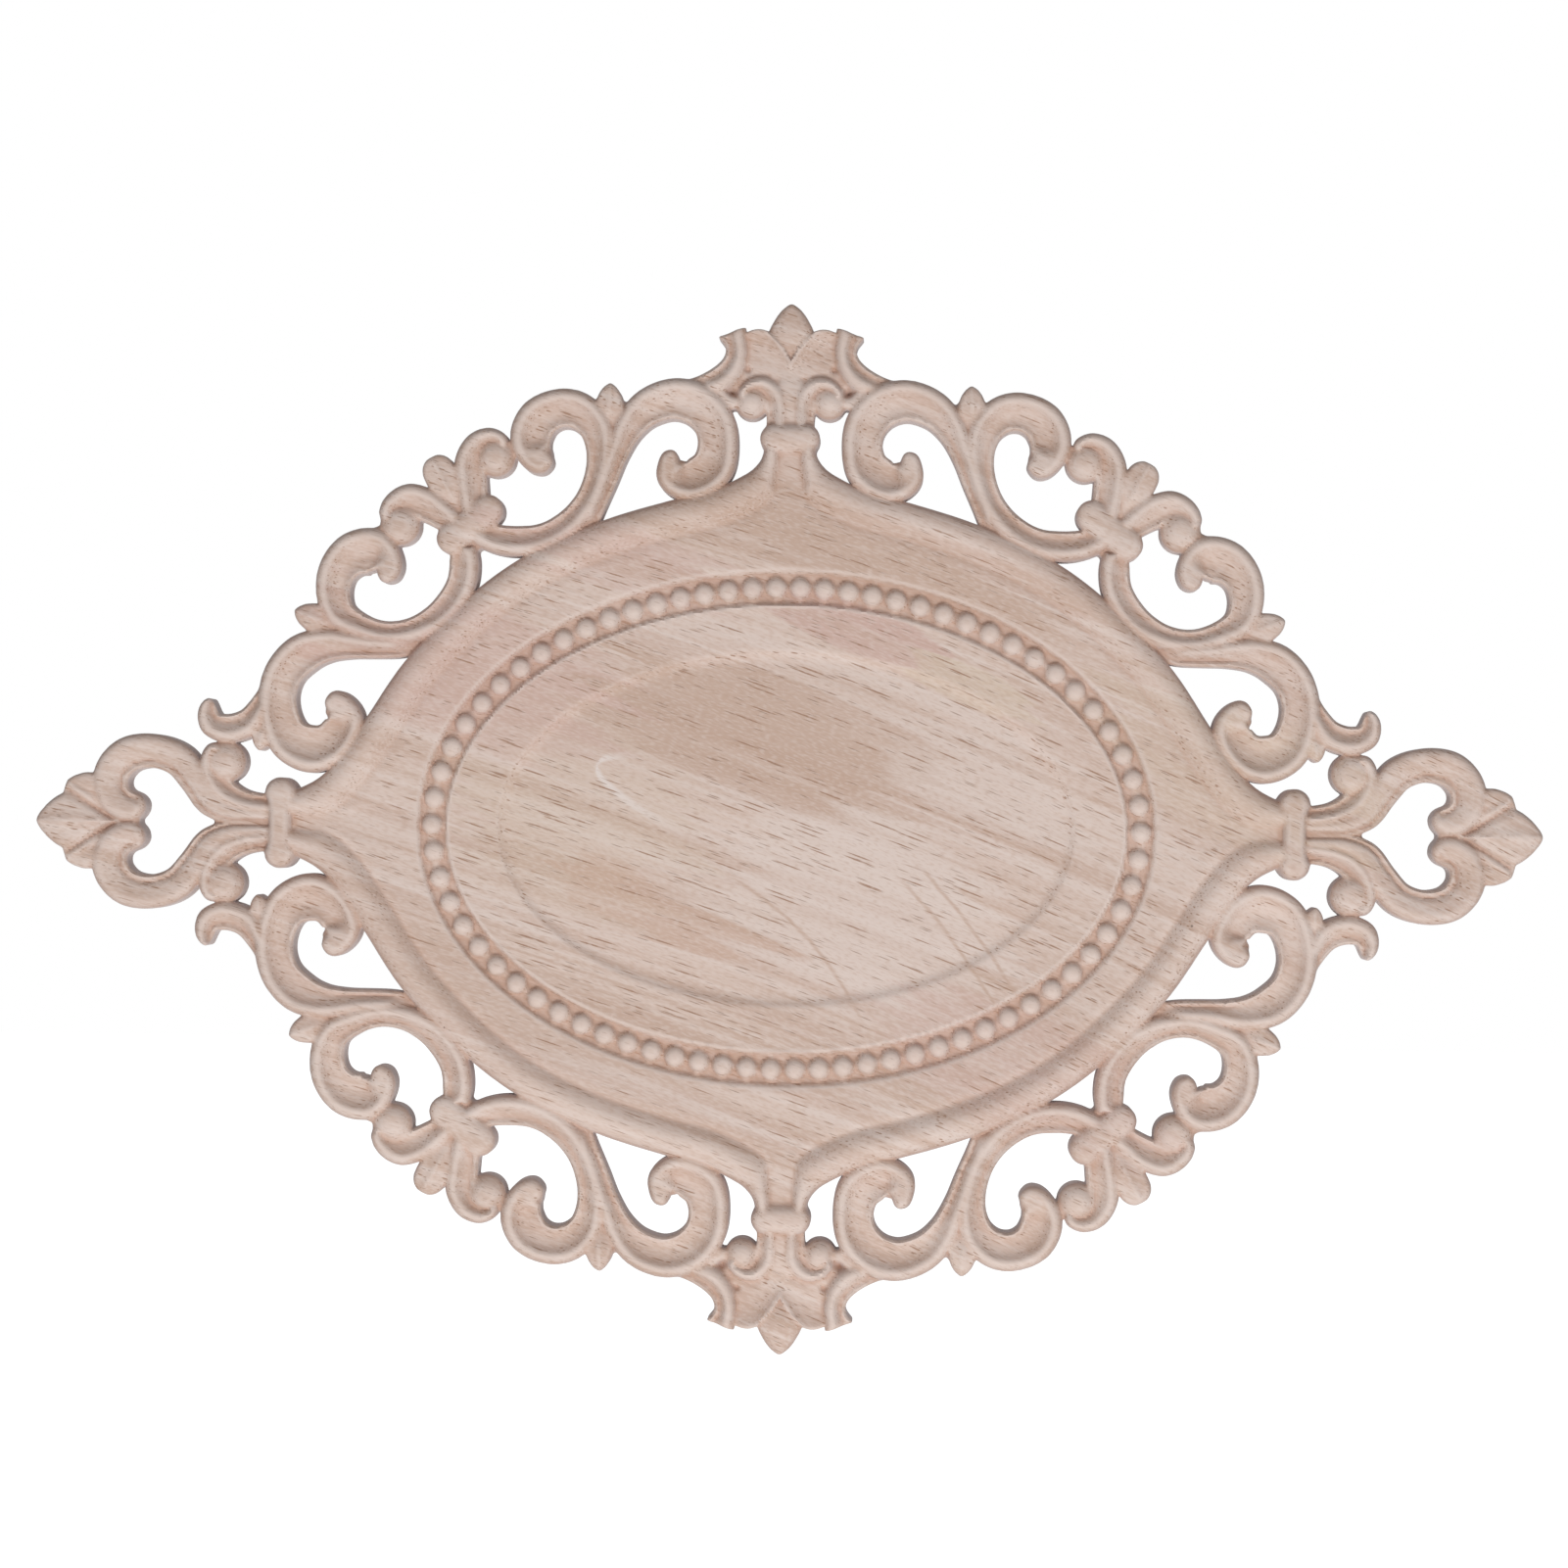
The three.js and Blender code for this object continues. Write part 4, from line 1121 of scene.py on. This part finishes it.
def archShares(along, across, nose, opening, reach, half):
    # how far a point lies on a pale arch of growth, and inside it; it fades away from its nose
    noseAlong, noseAcross = inGrain(nose)
    past, beside = minus(along, noseAlong), minus(across, noseAcross)
    limb = maths("SQRT", times(maths("MAXIMUM", past, 0.0), opening))
    inward = minus(limb, maths("ABSOLUTE", beside))
    fade = times(spread(past, reach, 0.0), spread(past, -0.0012, 0.0008))
    line = spread(maths("ABSOLUTE", inward), half * 2, half * 0.4)
    line = times(line, spread(beside, 0.007, 0.002, 0.2, 1.0))
    within = times(spread(inward, 0.0, half * 3), maths("GREATER_THAN", past, 0.0))
    return times(line, fade), times(within, fade)


def growthRings(spot, colour, centre, radii, heart, reach):
    # soft brown arcs about a centre, seen only near their heart
    plain = addNode("SeparateXYZ", {0: spot})

    def distance(place):
        x, z = minus(plain.outputs[0], place[0]), minus(plain.outputs[2], place[1])
        return maths("SQRT", plus(times(x, x), times(z, z)))

    uneven = addNode("TexNoise", {"Vector": spot, "Scale": 60.0, "Detail": 1.0})
    radius = maths("MULTIPLY_ADD", minus(uneven.outputs[0], 0.5), 0.002, distance(centre))
    shown = spread(distance(heart), reach, reach * 0.55)
    half, strength = woodLook["ringLine"]
    for ring in radii:
        gap = maths("ABSOLUTE", minus(radius, ring))
        colour = tinted(times(spread(gap, half, 0.0001, 0.0, strength), shown), colour, "tan")
    return colour


def paintWood():
    shader = tree.nodes["Principled BSDF"]
    spot = addNode("TexCoord").outputs
    turned = addNode("Mapping", {"Vector": spot["Object"], "Rotation": (0, woodLook["grainTurn"], 0)})
    along, deep, up = addNode("SeparateXYZ", {0: turned.outputs[0]}).outputs
    straight = plus(up, times(times(along, along), woodLook["grainBow"]))
    plain = (along, deep, straight)
    across = maths("MULTIPLY_ADD", minus(fibre(plain, "sway"), 0.5), woodLook["swayReach"], straight)
    grain = (along, deep, across)
    print("grain laid")

    # broad tones
    colour = tinted(spread(fibre(grain, "bands", 2.0), 0.36, 0.62), "middle", "pale")
    colour = washed(colour, fibre(grain, "lines", 1.0), woodLook["lineWash"])
    colour = washed(colour, fibre(grain, "streaks", 1.0), woodLook["streakWash"])
    wander = times(minus(fibre(grain, "wander"), 0.5), woodLook["wanderReach"])
    patchy = fibre(grain, "patchy")
    for place, reach, feather, edge, tone, strength in woodLook["patches"]:
        share = patchShare(along, across, wander, place, reach, feather, edge)
        share = times(share, spread(patchy, 0.30, 0.60, strength * 0.6, strength))
        colour = tinted(share, colour, tone)
    for rings in woodLook["rings"]:
        colour = growthRings(spot["Object"], colour, *rings)
    line, within = archShares(along, straight, *woodLook["arch"])
    colour = tinted(times(within, 0.35), colour, "pale")
    colour = tinted(times(line, 0.75), colour, "chalk")

    # vessels, thicker on the ground in some bands than in others
    many = spread(fibre(grain, "density", 1.0), 0.36, 0.62, 0.42, 0.95)
    long = pores(grain, "longPores", many)
    colour = tinted(times(pores(grain, "shortPores", many), 0.70), colour, "pore")
    colour = tinted(times(long, 0.90), colour, "rust")

    # sanded fuzz, and a few dark specks
    fuzz = fibre(plain, "fuzz")
    colour = washed(colour, fuzz, woodLook["fuzzWash"])
    specks = addNode("TexVoronoi", {"Vector": spot["Object"], "Scale": 75.0})
    rare = addNode("SeparateColor", {0: specks.outputs["Color"]})
    few = spread(rare.outputs[1], 0.90, 0.93, 0.0, 0.8)
    colour = tinted(times(spread(specks.outputs["Distance"], 0.040, 0.022), few), colour, "spot")

    # painted shade in the hollows and creases and painted highlights on the crests and arrises, then
    # upright walls painted paler and greyer as if lit
    for mark, *wash in woodLook["shadeAndHighlightWash"]:
        colour = washed(colour, addNode("Attribute", attribute_name=mark).outputs["Fac"], [wash])
    facing = addNode("SeparateXYZ", {0: spot["Normal"]})
    # the upright walls get the paler tone, a painted light on them
    upright = spread(maths("ABSOLUTE", facing.outputs[1]), 0.62, 0.12, 0.0, 0.8)
    tree.links.new(tinted(upright, colour, "litWallTone"), shader.inputs["Base Color"])

    dry = fibre(plain, "dry")
    rough = spread(dry, 0.3, 0.7, *woodLook["roughness"])
    tree.links.new(maths("MAXIMUM", rough, times(long, 0.9)), shader.inputs["Roughness"])
    relief = maths("MULTIPLY_ADD", dry, 0.6, times(fuzz, 0.4))
    bump = addNode("Bump", {"Strength": woodLook["bump"], "Distance": 0.0003, "Height": relief})
    tree.links.new(bump.outputs[0], shader.inputs["Normal"])
    shader.inputs["Specular IOR Level"].default_value = 0.25
    print("wood finished")


paintWood()
applique.data.materials.append(wood)
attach(applique, "root")
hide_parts("carved_applique")

stageSet = {
    "floorDrop": 0.30,
    "floorReach": 4.0,
    "floorColour": (0.95, 0.95, 0.95, 1),
    "floorGlow": 0.8,
    "worldColour": (0.96, 0.98, 1.0, 1),  # what falls on the carving
    "worldStrength": 0.44,
    "backdropColour": (1.0, 1.0, 1.0, 1),  # what is seen behind it
    "backdropStrength": 1.0,
    "keyPlace": (0.12, -1.70, -0.95),
    "keySize": 0.7,
    "keyColour": (1.0, 0.99, 0.975),
    "keyPower": 27,
}


def makeStage():
    reach, level = stageSet["floorReach"], -stageSet["floorDrop"]
    corners = [(x * reach, y * reach, level) for x, y in squareCorners]
    floor = addObject("floor", corners, [[0, 1, 2, 3]])
    pale = bpy.data.materials.new("paleFloor")
    pale.use_nodes = True
    coat = pale.node_tree.nodes["Principled BSDF"].inputs
    coat["Base Color"].default_value = stageSet["floorColour"]
    coat["Roughness"].default_value = 0.9
    coat["Emission Color"].default_value = stageSet["floorColour"]
    coat["Emission Strength"].default_value = stageSet["floorGlow"]
    floor.data.materials.append(pale)
    floor.visible_diffuse = False  # its glow doesn't fall on the carving
    floor.visible_shadow = False   # the lamp stands below it, as the photo's light comes from below
    world = bpy.data.worlds.new("paleStudio")
    bpy.context.scene.world = world
    world.use_nodes = True
    nodes, links = world.node_tree.nodes, world.node_tree.links
    falling = nodes["Background"]
    falling.inputs["Color"].default_value = stageSet["worldColour"]
    falling.inputs["Strength"].default_value = stageSet["worldStrength"]
    seen = nodes.new("ShaderNodeBackground")
    seen.inputs["Color"].default_value = stageSet["backdropColour"]
    seen.inputs["Strength"].default_value = stageSet["backdropStrength"]
    rays = nodes.new("ShaderNodeLightPath")
    either = nodes.new("ShaderNodeMixShader")
    links.new(rays.outputs["Is Camera Ray"], either.inputs[0])
    links.new(falling.outputs[0], either.inputs[1])
    links.new(seen.outputs[0], either.inputs[2])
    links.new(either.outputs[0], nodes["World Output"].inputs["Surface"])
    bpy.context.scene.view_settings.view_transform = "Standard"
    lamp = bpy.data.lights.new("key", "AREA")
    lamp.shape = "DISK"
    lamp.size = stageSet["keySize"]
    lamp.color = stageSet["keyColour"]
    lamp.energy = stageSet["keyPower"]
    key = bpy.data.objects.new("key", lamp)
    key.location = stageSet["keyPlace"]
    key.rotation_euler = (-Vector(stageSet["keyPlace"])).to_track_quat("-Z", "Y").to_euler()
    bpy.context.scene.collection.objects.link(key)


cameraSet = {
    "place": (0.0373124, -1.3, 0.0024616),
    "turn": (90.549427, -0.689030, 1.679928),  # degrees
    "lens": 89.2832,
}


def makeCamera():
    lens = bpy.data.cameras.new("camera")
    lens.lens = cameraSet["lens"]
    lens.sensor_width = 36
    camera = bpy.data.objects.new("camera", lens)
    camera.location = cameraSet["place"]
    camera.rotation_euler = [math.radians(a) for a in cameraSet["turn"]]
    bpy.context.scene.collection.objects.link(camera)
    bpy.context.scene.camera = camera


makeStage()
makeCamera()
print("stage and camera set")
